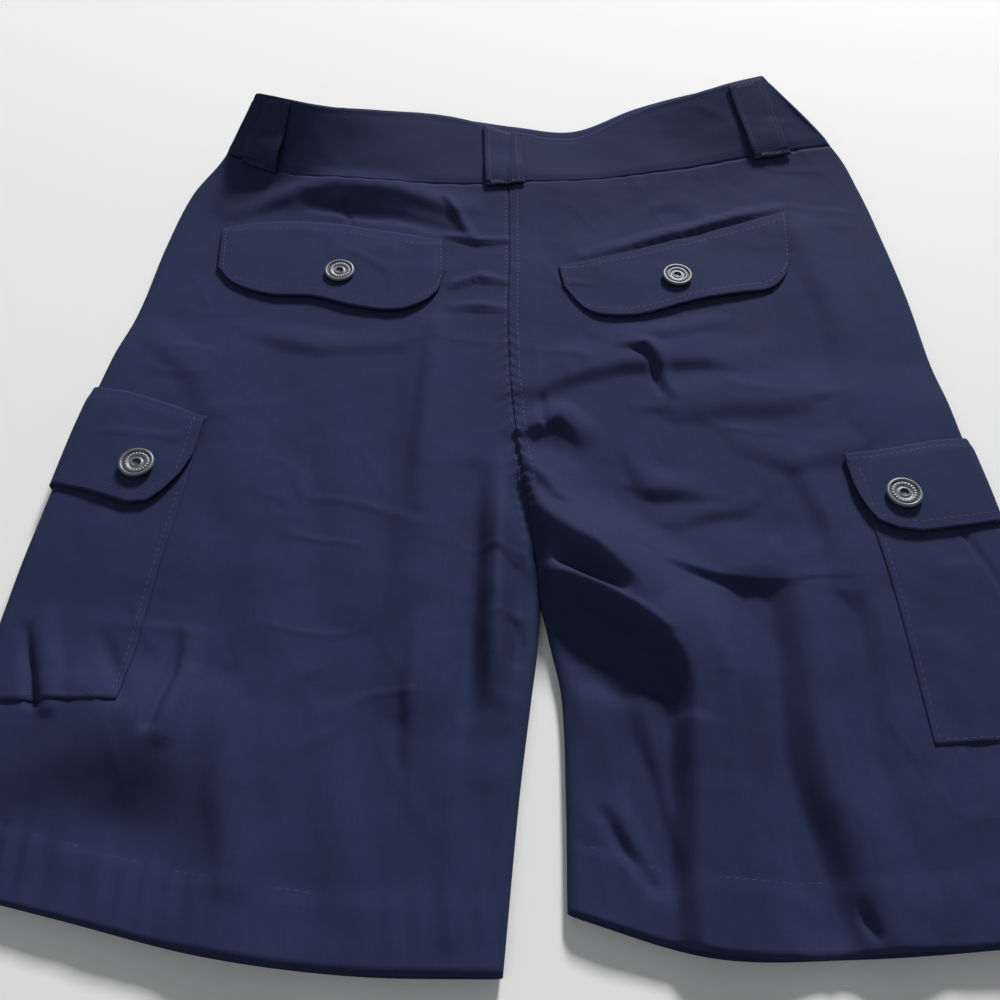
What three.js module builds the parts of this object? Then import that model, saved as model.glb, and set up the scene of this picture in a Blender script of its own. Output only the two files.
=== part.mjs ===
// Cargo shorts lying flat with their back uppermost, pressed so that front and back lie close together.
// Lengths are in millimetres. +Z is up from the surface, the waist is toward +Y, the hems toward -Y.
import * as THREE from 'three';

// Cloth and seams
const WALL = 1.2;
const SEAM_GAP = 0.3;
const FOLD_RADIUS = 3.1;
const STRIP_SLACK = 3.0;
const BAND_WALL = 2.0;
const BAND_OUT = 0.6;
const PATCH_WALL = 1.2;
const FLAP_WALL = 1.4;
const LOOP_WALL = 1.2;
const FLY_WALL = 1.0;

// The whole garment is moved this far toward +Y so that the origin is under its middle.
const CENTRE_SHIFT = { x: -0.25, y: 10.8 };

// Rows of each leg from the waist's top edge (0) through the band's seam (1) to the hem (13).
// side and inner are the row's ends in plan; dip1 to dip3 move its quarter points along Y;
// lift0 to lift4 raise both layers off the surface from the side to the inner end.
const ROWS = {
  right: table('sideX sideY innerX innerY dip1 dip2 dip3 lift0 lift1 lift2 lift3 lift4', [
    [150, 230, -1, 196, -4, -2, -12, 20, 18, 9, 4, 4.5],
    [186, 184, -2, 153, -2, -5, -4, 5, 4, 3.5, 2.5, 2.2],
    [196, 150, -2, 124, 0, 0, 0, 0.5, 0.5, 0.3, 0.2, 0],
    [200, 112, -2, 92, 0, 0, 0, 0, 0, 0, 0, 0],
    [203, 65, -3, 50, 0, 0, 0, 0, 0, 0, 0, 0],
    [203.5, 20, -2, 8, 0, 0, 0, 0, 0, 0, 0, 0],
    [205, -25, 1, -32, 0, 0, 0, 0, 0, 0, 0, 0],
    [207, -60, 5, -66, 0, 0, 0, 0, 0, 0, 0, 0],
    [208, -85, 8, -93, 0, 0, 0, 0, 0, 0, 0, 0],
    [209, -106, 9.5, -112, 0, 0, 0, 0, 0, 0, 0, 0],
    [209.5, -128, 13.5, -134, 0, 0, 0, 0, 0, 0, 0, 0],
    [210, -152, 17, -156, 0, 0, 0, 0, 0, 0, 0, 0],
    [210, -190, 17, -194, 0, -1, 0, 0, 0, 0, 0, 0],
    [210, -238, 16, -232, -6.5, -11, -12, 0, 0, 0, 0, 0],
  ]),
  left: table('sideX sideY innerX innerY dip1 dip2 dip3 lift0 lift1 lift2 lift3 lift4', [
    [-144, 191, -1, 196, -1, 5, 8, 34, 26, 17, 10, 4.5],
    [-164, 173, -2, 153, -12, -13, -7, 8, 6, 5, 3, 2.2],
    [-180, 145, -2, 124, -5, -5, -3, 1.5, 1, 0.5, 0.3, 0],
    [-187, 105, -2, 92, 0, 0, 0, 0, 0, 0, 0, 0],
    [-190.5, 62, -3, 50, 0, 0, 0, 0, 0, 0, 0, 0],
    [-196, 22, -2, 8, 0, 0, 0, 0, 0, 0, 0, 0],
    [-201, -20, 1, -32, 0, 0, 0, 0, 0, 0, 0, 0],
    [-204, -58, 5, -66, 0, 0, 0, 0, 0, 0, 0, 0],
    [-206, -84, 8, -93, 0, 0, 0, 0, 0, 0, 0, 0],
    [-208, -108, 9.5, -112, 0, 0, 0, 0, 0, 0, 0, 0],
    [-209, -132, 8, -134, 0, 0, 0, 0, 0, 0, 0, 0],
    [-209.5, -156, 5, -156, 0, 0, 0, 0, 0, 0, 0, 0],
    [-210, -192, 0, -194, 0, -1, 0, 0, 0, 0, 0, 0],
    [-210, -222, -6, -252, -4, -8, -6.5, 0, 0, 0, 0, 0],
  ]),
};
const SEAM_ROW = 1;
const HEM_ROW = 13;

// The seam down the middle closes into the legs' inner folds between these two places.
const VALLEY = { from: -62, to: -112 };

// How far the front's waist edge lies beyond the back's, at the side, the quarter points and the middle.
const FRONT_BEYOND = { right: [0, 7, 10, 13, 14], left: [0, 0, 1, 7, 14] };

// The cloth stands on what is sewn under its side edges: plan areas with the height they add.
const PROPS_UNDER = table('leg low high', [
  ['left', -178, 16],
  ['left', -84, 20],
  ['right', -192, -16],
  ['right', -100, -10],
]);
const PROP = { high: PATCH_WALL + SEAM_GAP, full: 143, none: 108, ramp: 34 };

// Large folds of the back: height along a path, with the width of the slope on each side of it.
// The crotch folds belong to the right leg: a lip with a smaller crest above it.
const CROTCH_FOLDS = [
  {
    left: 44,
    right: 17,
    path: [
      [6, -99, 8], [19, -105, 11.5], [32, -111, 13.5], [46, -120, 14.5], [58, -131, 14.5],
      [66, -145, 13.5], [67, -160, 12], [65, -183, 10], [64, -203, 8], [61, -240, 5],
    ],
  },
  {
    left: 34,
    right: 14,
    path: [
      [5, -48, 4], [12, -71, 8], [23, -85, 9], [33, -94, 8.5], [42, -102, 6], [50, -111, 2], [56, -118, 0],
    ],
  },
];
const FOLDS = [
  { left: 30, right: 12, path: [[62, -93, 1], [74, -97, 3], [92, -101, 3.4], [113, -103, 1.5]] },
  {
    left: 24,
    right: 20,
    path: [[115, -92, 2], [118, -122, 5], [114, -158, 6.5], [114, -188, 6.5], [120, -215, 6], [125, -240, 5]],
  },
  {
    left: 16,
    right: 12,
    path: [[-156, 134, 1], [-129, 141, 2.4], [-100, 144, 3], [-63, 142, 2.8], [-29, 132, 1.4]],
  },
  { left: 10, right: 12, path: [[-6, -40, 1], [-8, -95, 5], [-9, -132, 5], [-11, -185, 2]] },
  { left: 24, right: 18, path: [[-42, 39, 1.5], [-40, -53, 3.5], [-42, -150, 3]] },
  { left: 30, right: 26, path: [[-92, -60, 1], [-100, -150, 3], [-96, -245, 3]] },
];

// Flaps sewn over the back pockets: points of the top and bottom edges from left to right.
const BACK_FLAPS = {
  left: {
    lift: 2,
    columns: table('topX topY lowX lowY', [
      [-158, 117, -155, 85], [-150, 119, -145, 73], [-128, 122, -128, 65], [-96, 121, -104, 63],
      [-76, 117, -84, 57], [-60, 113, -63, 53], [-49, 110, -50, 56], [-42, 108.5, -40, 66],
      [-38, 107, -36, 82],
    ]),
    button: { x: -89.3, y: 80.6 },
  },
  right: {
    lift: 1.6,
    columns: table('topX topY lowX lowY', [
      [24, 87, 26, 72], [32, 89, 36, 56], [48, 94, 47, 50], [76, 103, 66, 51],
      [98, 111, 92, 60], [122, 120, 118, 66], [137, 125, 132, 69], [145, 128, 141, 78], [151, 130, 147, 92],
    ]),
    button: { x: 85.6, y: 76.6 },
  },
};

// Pockets and flaps over the side seams: arc is the distance round the side fold, negative underneath.
const CARGO = {
  left: {
    pocket: table('arc topY lowY', [
      [-52, -14, -157], [-30, -12, -157], [0, -10, -157], [30, -14, -158], [60, -18, -159],
    ]),
    flap: table('arc topY lowY', [
      [-53, -3, -52], [-45, -2, -63], [-25, 0, -61], [0, 0, -56], [20, -4, -61.5], [38, -10, -67.5],
      [46, -13, -66.5], [52, -16, -60], [57, -18, -52], [60, -19.5, -41],
    ]),
    lift: 1.2,
    button: { arc: 37.5, y: -48 },
  },
  right: {
    pocket: table('arc topY lowY', [
      [-52, -42, -172], [-30, -40, -172], [0, -38, -172], [30, -44, -173], [57, -49, -174.5],
    ]),
    flap: table('arc topY lowY', [
      [-53, -34, -68], [-45, -33, -79], [-25, -32, -79], [0, -31, -76], [20, -33, -79.5], [38, -37, -82],
      [48, -39, -80.5], [55, -40, -77], [59, -41, -68], [61, -41, -58],
    ]),
    lift: 1.2,
    button: { arc: 41.4, y: -64 },
  },
};

// Belt loops: plan X of the two edges at the top and at the bottom, and the rows they run between.
const LOOPS = table('name face topA topB lowA lowB stand bulge', [
  ['belt_loop_back', 'back', -17, 5, -15, 7, 0.3, 1.2],
  ['belt_loop_right', 'back', 127, 147, 139, 160, 0.3, 1.2],
  ['belt_loop_left', 'back', -139, -125, -152, -133, 0.3, 3.2],
  ['belt_loop_front_right', 'front', 74, 92, 80, 98, 0.8, 0],
  ['belt_loop_front_left', 'front', -88, -70, -94, -76, 0.8, 0],
]);
const LOOP_ROWS = { from: 0.05, to: 1.07 };

// The fly's strip behind the front opening.
const FLY = { left: -8, right: 24, low: 25 };

// Buttons: turned metal discs on a short shank.
const BUTTON = {
  radius: 7.75, rim: 1.4, thick: 1.6, dish: 0.6, shank: 2.3, stand: 0.9,
  centre: 1.6, well: 0.5, bevel: 0.3, sides: 12,
};

const NAVY = new THREE.Color(0x2b3156);
const NAVY_DEEP = new THREE.Color(0x272d50);
const METAL = new THREE.Color(0x8f929c);

function table(names, rows) {
  const keys = names.split(' ');
  return rows.map((row) => Object.fromEntries(row.map((value, i) => [keys[i], value])));
}

function clamp(value, low = 0, high = 1) {
  return Math.min(high, Math.max(low, value));
}

function smooth(from, to, value) {
  const q = clamp((value - from) / (to - from));
  return q * q * (3 - 2 * q);
}

// A smooth curve through evenly spaced values.
function spline(values, at) {
  const last = values.length - 1;
  const i = clamp(Math.floor(at), 0, last - 1);
  const f = at - i;
  const b = values[i];
  const c = values[i + 1];
  const a = i > 0 ? values[i - 1] : 2 * b - c;
  const d = i < last - 1 ? values[i + 2] : 2 * c - b;
  return b + 0.5 * f * (c - a + f * (2 * a - 5 * b + 4 * c - d + f * (3 * (b - c) + d - a)));
}

function column(rows, key, at) {
  return spline(rows.map((row) => row[key]), at);
}

// A value read between the rows of a table whose first column rises.
function between(rows, from, key, at) {
  let i = 0;
  while (i < rows.length - 2 && rows[i + 1][from] < at) i += 1;
  const q = clamp((at - rows[i][from]) / (rows[i + 1][from] - rows[i][from]));
  return rows[i][key] + (rows[i + 1][key] - rows[i][key]) * q;
}

// One row of a leg: its two ends, how it bends and how high it is held.
function rowAt(leg, s) {
  const rows = ROWS[leg];
  const side = { x: column(rows, 'sideX', s), y: column(rows, 'sideY', s) };
  const inner = { x: column(rows, 'innerX', s), y: column(rows, 'innerY', s) };
  return {
    side,
    inner,
    width: Math.hypot(inner.x - side.x, inner.y - side.y) - SEAM_GAP / 2,
    dips: [0, column(rows, 'dip1', s), column(rows, 'dip2', s), column(rows, 'dip3', s), 0],
    lifts: ['lift0', 'lift1', 'lift2', 'lift3', 'lift4'].map((key) => Math.max(0, column(rows, key, s))),
  };
}

// X of a leg's edge at a given Y, for fading folds out toward it.
function edgeX(leg, key, y) {
  const rows = ROWS[leg];
  let i = 0;
  while (i < rows.length - 2 && rows[i + 1][`${key}Y`] > y) i += 1;
  const q = clamp((rows[i][`${key}Y`] - y) / (rows[i][`${key}Y`] - rows[i + 1][`${key}Y`]));
  return rows[i][`${key}X`] + (rows[i + 1][`${key}X`] - rows[i][`${key}X`]) * q;
}

// Height of one fold: a soft hump across its path, with its own width on each side.
function foldHeight(fold, x, y) {
  let best = null;
  for (let i = 0; i < fold.path.length - 1; i += 1) {
    const [ax, ay, ah] = fold.path[i];
    const [bx, by, bh] = fold.path[i + 1];
    const dx = bx - ax;
    const dy = by - ay;
    const q = clamp(((x - ax) * dx + (y - ay) * dy) / (dx * dx + dy * dy));
    const px = x - ax - dx * q;
    const py = y - ay - dy * q;
    const away = Math.hypot(px, py);
    if (best === null || away < best.away) {
      const beside = (dx * py - dy * px) / Math.hypot(dx, dy);
      best = { away, left: smooth(-2, 2, beside), high: ah + (bh - ah) * q };
    }
  }
  const reach = fold.right + (fold.left - fold.right) * best.left;
  const near = clamp(1 - (best.away / reach) ** 2);
  return best.high * near * near;
}

// Height of all folds of the back at a plan point, dying out at the folded edges.
function foldsAt(leg, x, y) {
  const fromSide = Math.abs(x - edgeX(leg, 'side', y));
  const fromInner = Math.abs(x - edgeX(leg, 'inner', y));
  const closed = smooth(VALLEY.from, VALLEY.to, y);
  const high = (folds) => folds.reduce((sum, fold) => sum + foldHeight(fold, x, y), 0);
  const byFold = (width) => 1 - closed * (1 - smooth(1, width, fromInner));
  const crotch = leg === 'right' ? byFold(14) : (1 - closed) * (1 - smooth(2, 24, fromInner));
  return smooth(2, 24, fromSide) * (crotch * high(CROTCH_FOLDS) + byFold(20) * high(FOLDS));
}

// How far the cloth is held up by the pocket and flap under its side edge.
function propAt(leg, x, y) {
  const inward = 1 - smooth(0, PROP.full - PROP.none, PROP.full - Math.abs(x));
  return PROPS_UNDER.filter((area) => area.leg === leg).reduce((sum, area) => {
    const along = smooth(area.low - PROP.ramp, area.low, y) * (1 - smooth(area.high, area.high + PROP.ramp, y));
    return sum + PROP.high * along * inward;
  }, 0);
}

// The garment's outer face. t runs across a row: 0 to 1 round the side fold, 1 to 2 over the flat,
// 2 to 3 down to the middle seam or the leg's inner fold. s runs down the rows.
function skin(leg, face, t, s) {
  const row = rowAt(leg, s);
  const turn = (Math.PI / 2) * smooth(VALLEY.from, VALLEY.to, row.inner.y);
  const strip = FOLD_RADIUS * Math.sin(turn) + STRIP_SLACK;
  let away;
  let drop;
  if (t <= 1) {
    const angle = (Math.PI / 2) * (1 - t);
    away = FOLD_RADIUS * (1 - Math.sin(angle));
    drop = FOLD_RADIUS * (1 - Math.cos(angle));
  } else if (t <= 2) {
    away = FOLD_RADIUS + (row.width - FOLD_RADIUS - strip) * (t - 1);
    drop = 0;
  } else {
    const angle = turn * (t - 2);
    const shut = Math.sin(turn);
    away = row.width - FOLD_RADIUS * (shut - Math.sin(angle)) - STRIP_SLACK * (3 - t) * (1 - shut * (t - 2));
    drop = FOLD_RADIUS * (1 - Math.cos(angle));
  }
  const u = away / (row.width + SEAM_GAP / 2);
  const x = row.side.x + (row.inner.x - row.side.x) * u;
  let y = row.side.y + (row.inner.y - row.side.y) * u + spline(row.dips, 4 * u);
  const lift = spline(row.lifts, 4 * u) + propAt(leg, x, y);
  if (face === 'front') {
    y += spline(FRONT_BEYOND[leg], 4 * u) * (1 - smooth(0.8, 3, s));
    return new THREE.Vector3(x, y, lift + drop);
  }
  return new THREE.Vector3(x, y, lift + 2 * FOLD_RADIUS + foldsAt(leg, x, y) - drop);
}

// A point moved out of the face by a distance; in is negative.
function moved(leg, face, t, s, out) {
  const step = 0.004;
  const t0 = Math.max(0, t - step);
  const t1 = Math.min(3, t + step);
  const across = skin(leg, face, t1, s).sub(skin(leg, face, t0, s));
  const down = skin(leg, face, t, s + step).sub(skin(leg, face, t, s - step));
  const normal = across.cross(down).normalize();
  const outward = (leg === 'right') === (face === 'back') ? 1 : -1;
  return skin(leg, face, t, s).addScaledVector(normal, outward * out);
}

// t for a distance across a row, and s for a plan Y at that distance.
function tAcross(leg, s, away) {
  const row = rowAt(leg, s);
  const turn = (Math.PI / 2) * smooth(VALLEY.from, VALLEY.to, row.inner.y);
  const strip = FOLD_RADIUS * Math.sin(turn) + STRIP_SLACK;
  if (away < row.width - strip) return 1 + (away - FOLD_RADIUS) / (row.width - FOLD_RADIUS - strip);
  return clamp(3 - (row.width - away) / STRIP_SLACK, 2, 3);
}

function search(low, high, value) {
  let a = low;
  let b = high;
  for (let i = 0; i < 26; i += 1) {
    const middle = (a + b) / 2;
    if (value(middle) > 0) a = middle;
    else b = middle;
  }
  return (a + b) / 2;
}

// A plan point put on the back or front and moved out of it.
function onFace(face, x, y, out) {
  const middle = edgeX('right', 'inner', y);
  const leg = x > middle ? 'right' : 'left';
  const fraction = (s) => {
    const row = rowAt(leg, s);
    return (x - row.side.x) / (row.inner.x - row.side.x);
  };
  const s = search(-0.2, HEM_ROW, (at) => {
    const row = rowAt(leg, at);
    const u = fraction(at);
    return row.side.y + (row.inner.y - row.side.y) * u + spline(row.dips, 4 * clamp(u)) - y;
  });
  return moved(leg, face, tAcross(leg, s, fraction(s) * (rowAt(leg, s).width + SEAM_GAP / 2)), s, out);
}

// A point a given arc round the side fold from its edge, at a plan Y.
function onSide(leg, arc, y, out) {
  const quarter = (Math.PI / 2) * FOLD_RADIUS;
  const face = arc < 0 ? 'front' : 'back';
  const far = Math.abs(arc);
  const away = FOLD_RADIUS + Math.max(0, far - quarter);
  const s = search(SEAM_ROW, HEM_ROW, (at) => {
    const row = rowAt(leg, at);
    return row.side.y + (row.inner.y - row.side.y) * (away / row.width) - y;
  });
  return moved(leg, face, far < quarter ? far / quarter : tAcross(leg, s, away), s, out);
}

// A closed sheet from two grids of points, outer and inner, whose rims are joined.
function sheet(outer, inner) {
  const rows = outer.length;
  const columns = outer[0].length;
  const points = [...outer.flat(), ...inner.flat()];
  const at = (layer, i, j) => layer * rows * columns + i * columns + j;
  const faces = [];
  const quad = (a, b, c, d) => faces.push([a, b, c], [a, c, d]);
  for (let i = 0; i < rows - 1; i += 1) {
    for (let j = 0; j < columns - 1; j += 1) {
      quad(at(0, i, j), at(0, i + 1, j), at(0, i + 1, j + 1), at(0, i, j + 1));
      quad(at(1, i, j), at(1, i, j + 1), at(1, i + 1, j + 1), at(1, i + 1, j));
    }
  }
  for (let j = 0; j < columns - 1; j += 1) {
    quad(at(0, 0, j), at(0, 0, j + 1), at(1, 0, j + 1), at(1, 0, j));
    quad(at(0, rows - 1, j), at(1, rows - 1, j), at(1, rows - 1, j + 1), at(0, rows - 1, j + 1));
  }
  for (let i = 0; i < rows - 1; i += 1) {
    quad(at(0, i, 0), at(1, i, 0), at(1, i + 1, 0), at(0, i + 1, 0));
    const j = columns - 1;
    quad(at(0, i, j), at(0, i + 1, j), at(1, i + 1, j), at(1, i, j));
  }
  return solid(points, faces);
}

// A closed mesh whose faces look outward.
function solid(points, faces) {
  const volume = faces.reduce((sum, [a, b, c]) => {
    return sum + points[a].dot(new THREE.Vector3().crossVectors(points[b], points[c]));
  }, 0);
  const index = volume < 0 ? faces.map(([a, b, c]) => [a, c, b]) : faces;
  const geometry = new THREE.BufferGeometry();
  const places = points.flatMap((point) => [point.x, point.y, point.z]);
  geometry.setAttribute('position', new THREE.Float32BufferAttribute(places, 3));
  geometry.setIndex(index.flat());
  geometry.translate(CENTRE_SHIFT.x, CENTRE_SHIFT.y, 0);
  geometry.computeVertexNormals();
  return geometry;
}

const group = new THREE.Group();

function piece(name, geometry, color, roughness = 0.85, metalness = 0) {
  const mesh = new THREE.Mesh(geometry, new THREE.MeshStandardMaterial({ color, roughness, metalness }));
  mesh.name = name;
  group.add(mesh);
}

function steps(from, to, count) {
  return Array.from({ length: count + 1 }, (_, i) => from + ((to - from) * i) / count);
}

// Legs: the columns crowd toward the inner edge and the rows around the crotch, where the folds are.
const ARC = (Math.PI / 2) * FOLD_RADIUS;
const START = SEAM_GAP / 2 / ARC;

function columnsAcross(flat, crowd) {
  const over = steps(0, 1, flat).map((q) => 2 - (1 - crowd) * (1 - q) - crowd * (1 - q) ** 2);
  return [START, 1 / 3, 2 / 3, ...over, 7 / 3, 8 / 3, 3 - START];
}
const COLUMNS = {
  back: { right: columnsAcross(22, 0.5), left: columnsAcross(14, 0.35) },
  front: { right: columnsAcross(6, 0), left: columnsAcross(6, 0) },
};

const CROTCH_ROWS = { from: 6.5, to: 11.4 };

function rowsDown(upper, middle, lower) {
  const first = SEAM_ROW + SEAM_GAP / 2 / 30;
  return [
    ...steps(first, CROTCH_ROWS.from, upper),
    ...steps(CROTCH_ROWS.from, CROTCH_ROWS.to, middle).slice(1),
    ...steps(CROTCH_ROWS.to, HEM_ROW, lower).slice(1),
  ];
}

const PANEL_ROWS = rowsDown(12, 15, 5);

function panel(name, leg, face, color) {
  const grid = (out) => PANEL_ROWS.map((s) => COLUMNS[face][leg].map((t) => moved(leg, face, t, s, out)));
  piece(name, sheet(grid(0), grid(-WALL)), color);
}

panel('back_right', 'right', 'back', NAVY);
panel('back_left', 'left', 'back', NAVY);
panel('front_right', 'right', 'front', NAVY_DEEP);
panel('front_left', 'left', 'front', NAVY_DEEP);

// Waistband: one strip all round, its ends meeting at the middle of the front.
function waistband() {
  const run = (leg, face) => COLUMNS[face][leg].slice(1, -1).map((t) => [leg, face, t]);
  const end = 3 - START;
  const around = [
    ['right', 'front', end], ...run('right', 'front').reverse(),
    ['right', 'back', 0], ...run('right', 'back'),
    ['right', 'back', 3], ...run('left', 'back').reverse(),
    ['left', 'back', 0], ...run('left', 'front'), ['left', 'front', end],
  ];
  const rows = steps(0, SEAM_ROW - SEAM_GAP / 2 / 27, 3);
  const grid = (out) => rows.map((s) => around.map(([leg, face, t]) => moved(leg, face, t, s, out)));
  piece('waistband', sheet(grid(BAND_OUT), grid(BAND_OUT - BAND_WALL)), NAVY);
}
waistband();

// Belt loops: straight strips sewn at both ends, standing off the band between them.
for (const loop of LOOPS) {
  const rows = steps(0, 1, 6);
  const grid = (out) => rows.map((q) => steps(0, 1, 2).map((p) => {
    const x = loop.topA + (loop.topB - loop.topA) * p + (loop.lowA + (loop.lowB - loop.lowA) * p
      - loop.topA - (loop.topB - loop.topA) * p) * q;
    const s = LOOP_ROWS.from + (LOOP_ROWS.to - LOOP_ROWS.from) * q;
    const leg = x > column(ROWS.right, 'innerX', s) ? 'right' : 'left';
    const row = rowAt(leg, s);
    const away = ((x - row.side.x) / (row.inner.x - row.side.x)) * (row.width + SEAM_GAP / 2);
    const rise = BAND_OUT + loop.stand + loop.bulge * Math.sin(Math.PI * q ** 1.6) ** 2;
    return moved(leg, loop.face, tAcross(leg, s, away), s, rise + out);
  }));
  piece(loop.name, sheet(grid(LOOP_WALL), grid(0)), NAVY);
}

// Fly: a plain strip inside the front, behind the opening.
function fly() {
  const inside = -(WALL + SEAM_GAP);
  const top = 146;
  const grid = (out) => steps(top, FLY.low, 6).map((y) => steps(FLY.left, FLY.right, 4).map((x) => {
    return onFace('front', x, y, inside - out);
  }));
  piece('fly_strip', sheet(grid(0), grid(FLY_WALL)), NAVY_DEEP);
}
fly();

// Back pocket flaps: sewn along the top, their lower edges standing off the cloth.
function backFlapPoint(flap, p, q, out) {
  const last = flap.columns.length - 1;
  const x0 = column(flap.columns, 'topX', p * last);
  const y0 = column(flap.columns, 'topY', p * last);
  const x = x0 + (column(flap.columns, 'lowX', p * last) - x0) * q;
  const y = y0 + (column(flap.columns, 'lowY', p * last) - y0) * q;
  const rise = flap.lift * q * q * Math.sin(Math.PI * clamp(p, 0.08, 0.92));
  return onFace('back', x, y, SEAM_GAP + rise + out);
}

function frameAt(point) {
  const across = point(0.02, 0).sub(point(-0.02, 0));
  const down = point(0, 0.02).sub(point(0, -0.02));
  const up = across.cross(down).normalize();
  if (up.z < 0) up.negate();
  return up;
}

// A button stands with its shank just clear of the flap's face.
function button(name, foot, up) {
  const b = BUTTON;
  const top = b.stand + b.thick;
  const face = top - b.dish;
  const outline = [
    [0, 0], [b.shank, 0], [b.shank, b.stand], [b.radius - 0.7, b.stand], [b.radius, b.stand + 0.6],
    [b.radius - b.bevel, top], [b.radius - b.rim, top], [b.radius - b.rim - b.dish, face],
    [b.centre, face], [b.centre - b.bevel, face - b.well], [0, face - b.well],
  ];
  const ring = outline.slice(1, -1);
  const turnTo = new THREE.Quaternion().setFromUnitVectors(new THREE.Vector3(0, 0, 1), up);
  const place = (r, angle, z) => {
    return new THREE.Vector3(r * Math.cos(angle), r * Math.sin(angle), z).applyQuaternion(turnTo).add(foot);
  };
  const round = steps(0, 2 * Math.PI, b.sides).slice(1);
  const points = ring.flatMap(([r, z]) => round.map((angle) => place(r, angle, z)));
  const base = points.push(place(0, 0, outline[0][1])) - 1;
  const middle = points.push(place(0, 0, outline.at(-1)[1])) - 1;
  const faces = [];
  for (let j = 0; j < b.sides; j += 1) {
    const k = (j + 1) % b.sides;
    for (let i = 0; i < ring.length - 1; i += 1) {
      const [a, c] = [i * b.sides, (i + 1) * b.sides];
      faces.push([a + j, a + k, c + k], [a + j, c + k, c + j]);
    }
    faces.push([base, k, j]);
    faces.push([middle, (ring.length - 1) * b.sides + j, (ring.length - 1) * b.sides + k]);
  }
  piece(name, solid(points, faces), METAL, 0.4, 0.9);
}

for (const side of ['left', 'right']) {
  const flap = BACK_FLAPS[side];
  const across = steps(0, 1, 14);
  const grid = (out) => steps(0, 1, 5).map((q) => across.map((p) => backFlapPoint(flap, p, q, out)));
  piece(`back_flap_${side}`, sheet(grid(FLAP_WALL), grid(0)), NAVY);

  const top = flap.columns.map((c) => [(c.topX + c.lowX) / 2, c]);
  const p = search(0, 1, (at) => flap.button.x - spline(top.map(([x]) => x), at * (top.length - 1)));
  const at = (dp, dq) => {
    const x0 = column(flap.columns, 'topY', (p + dp) * (top.length - 1));
    const x1 = column(flap.columns, 'lowY', (p + dp) * (top.length - 1));
    return backFlapPoint(flap, p + dp, (flap.button.y - x0) / (x1 - x0) + dq, FLAP_WALL + SEAM_GAP);
  };
  button(`button_back_${side}`, at(0, 0), frameAt(at));
}

// Cargo pockets and their flaps wrap round the side fold to the front.
function cargoPoint(leg, rows, p, q, out) {
  const first = rows[0].arc;
  const arc = first + (rows.at(-1).arc - first) * p;
  const top = between(rows, 'arc', 'topY', arc);
  return onSide(leg, arc, top + (between(rows, 'arc', 'lowY', arc) - top) * q, out);
}

function arcsAcross(first, last) {
  const bends = [-3, -2, -1, 0, 1, 2, 3].map((third) => (third * ARC) / 3);
  const arcs = [...steps(first, -ARC - 8, 3), ...bends, ...steps(ARC + 8, last, 6)];
  return arcs.map((arc) => (arc - first) / (last - first));
}

for (const side of ['left', 'right']) {
  const cargo = CARGO[side];
  const ends = (rows) => arcsAcross(rows[0].arc, rows.at(-1).arc);
  const pocketPoint = (p, q, out) => cargoPoint(side, cargo.pocket, p, q, SEAM_GAP + out);
  const pocket = (out) => steps(0, 1, 9).map((q) => ends(cargo.pocket).map((p) => pocketPoint(p, q, out)));
  piece(`cargo_pocket_${side}`, sheet(pocket(PATCH_WALL), pocket(0)), NAVY);

  const over = 2 * SEAM_GAP + PATCH_WALL;
  const flapPoint = (p, q, out) => {
    const first = cargo.flap[0].arc;
    const arc = first + (cargo.flap.at(-1).arc - first) * p;
    return cargoPoint(side, cargo.flap, p, q, over + out + cargo.lift * q * q * smooth(6, 26, arc));
  };
  const flap = (out) => steps(0, 1, 4).map((q) => ends(cargo.flap).map((p) => flapPoint(p, q, out)));
  piece(`cargo_flap_${side}`, sheet(flap(PATCH_WALL), flap(0)), NAVY);

  const first = cargo.flap[0].arc;
  const p = (cargo.button.arc - first) / (cargo.flap.at(-1).arc - first);
  const top = between(cargo.flap, 'arc', 'topY', cargo.button.arc);
  const q = (cargo.button.y - top) / (between(cargo.flap, 'arc', 'lowY', cargo.button.arc) - top);
  const at = (dp, dq) => flapPoint(p + dp, q + dq, PATCH_WALL + SEAM_GAP);
  button(`button_cargo_${side}`, at(0, 0), frameAt(at));
}

export default group;
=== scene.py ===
"""Cargo shorts laid flat with the back up: cloth, pockets, band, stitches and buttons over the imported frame."""

from functools import partial

import bpy
import numpy as np
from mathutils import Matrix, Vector


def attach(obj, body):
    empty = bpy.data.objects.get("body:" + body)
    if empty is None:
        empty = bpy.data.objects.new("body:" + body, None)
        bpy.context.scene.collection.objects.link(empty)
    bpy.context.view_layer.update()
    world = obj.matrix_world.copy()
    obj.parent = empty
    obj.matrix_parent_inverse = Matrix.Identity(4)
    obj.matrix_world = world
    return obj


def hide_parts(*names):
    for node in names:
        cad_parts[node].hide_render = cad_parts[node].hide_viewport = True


bl_info = {
    "name": "Cargo shorts",
    "version": (1, 0, 0),
    "blender": (4, 5, 0),
    "location": "3D View > Sidebar > Shorts",
    "description": "Builds a pair of cargo shorts laid flat, piece by piece",
    "category": "Add Mesh",
}

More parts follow.
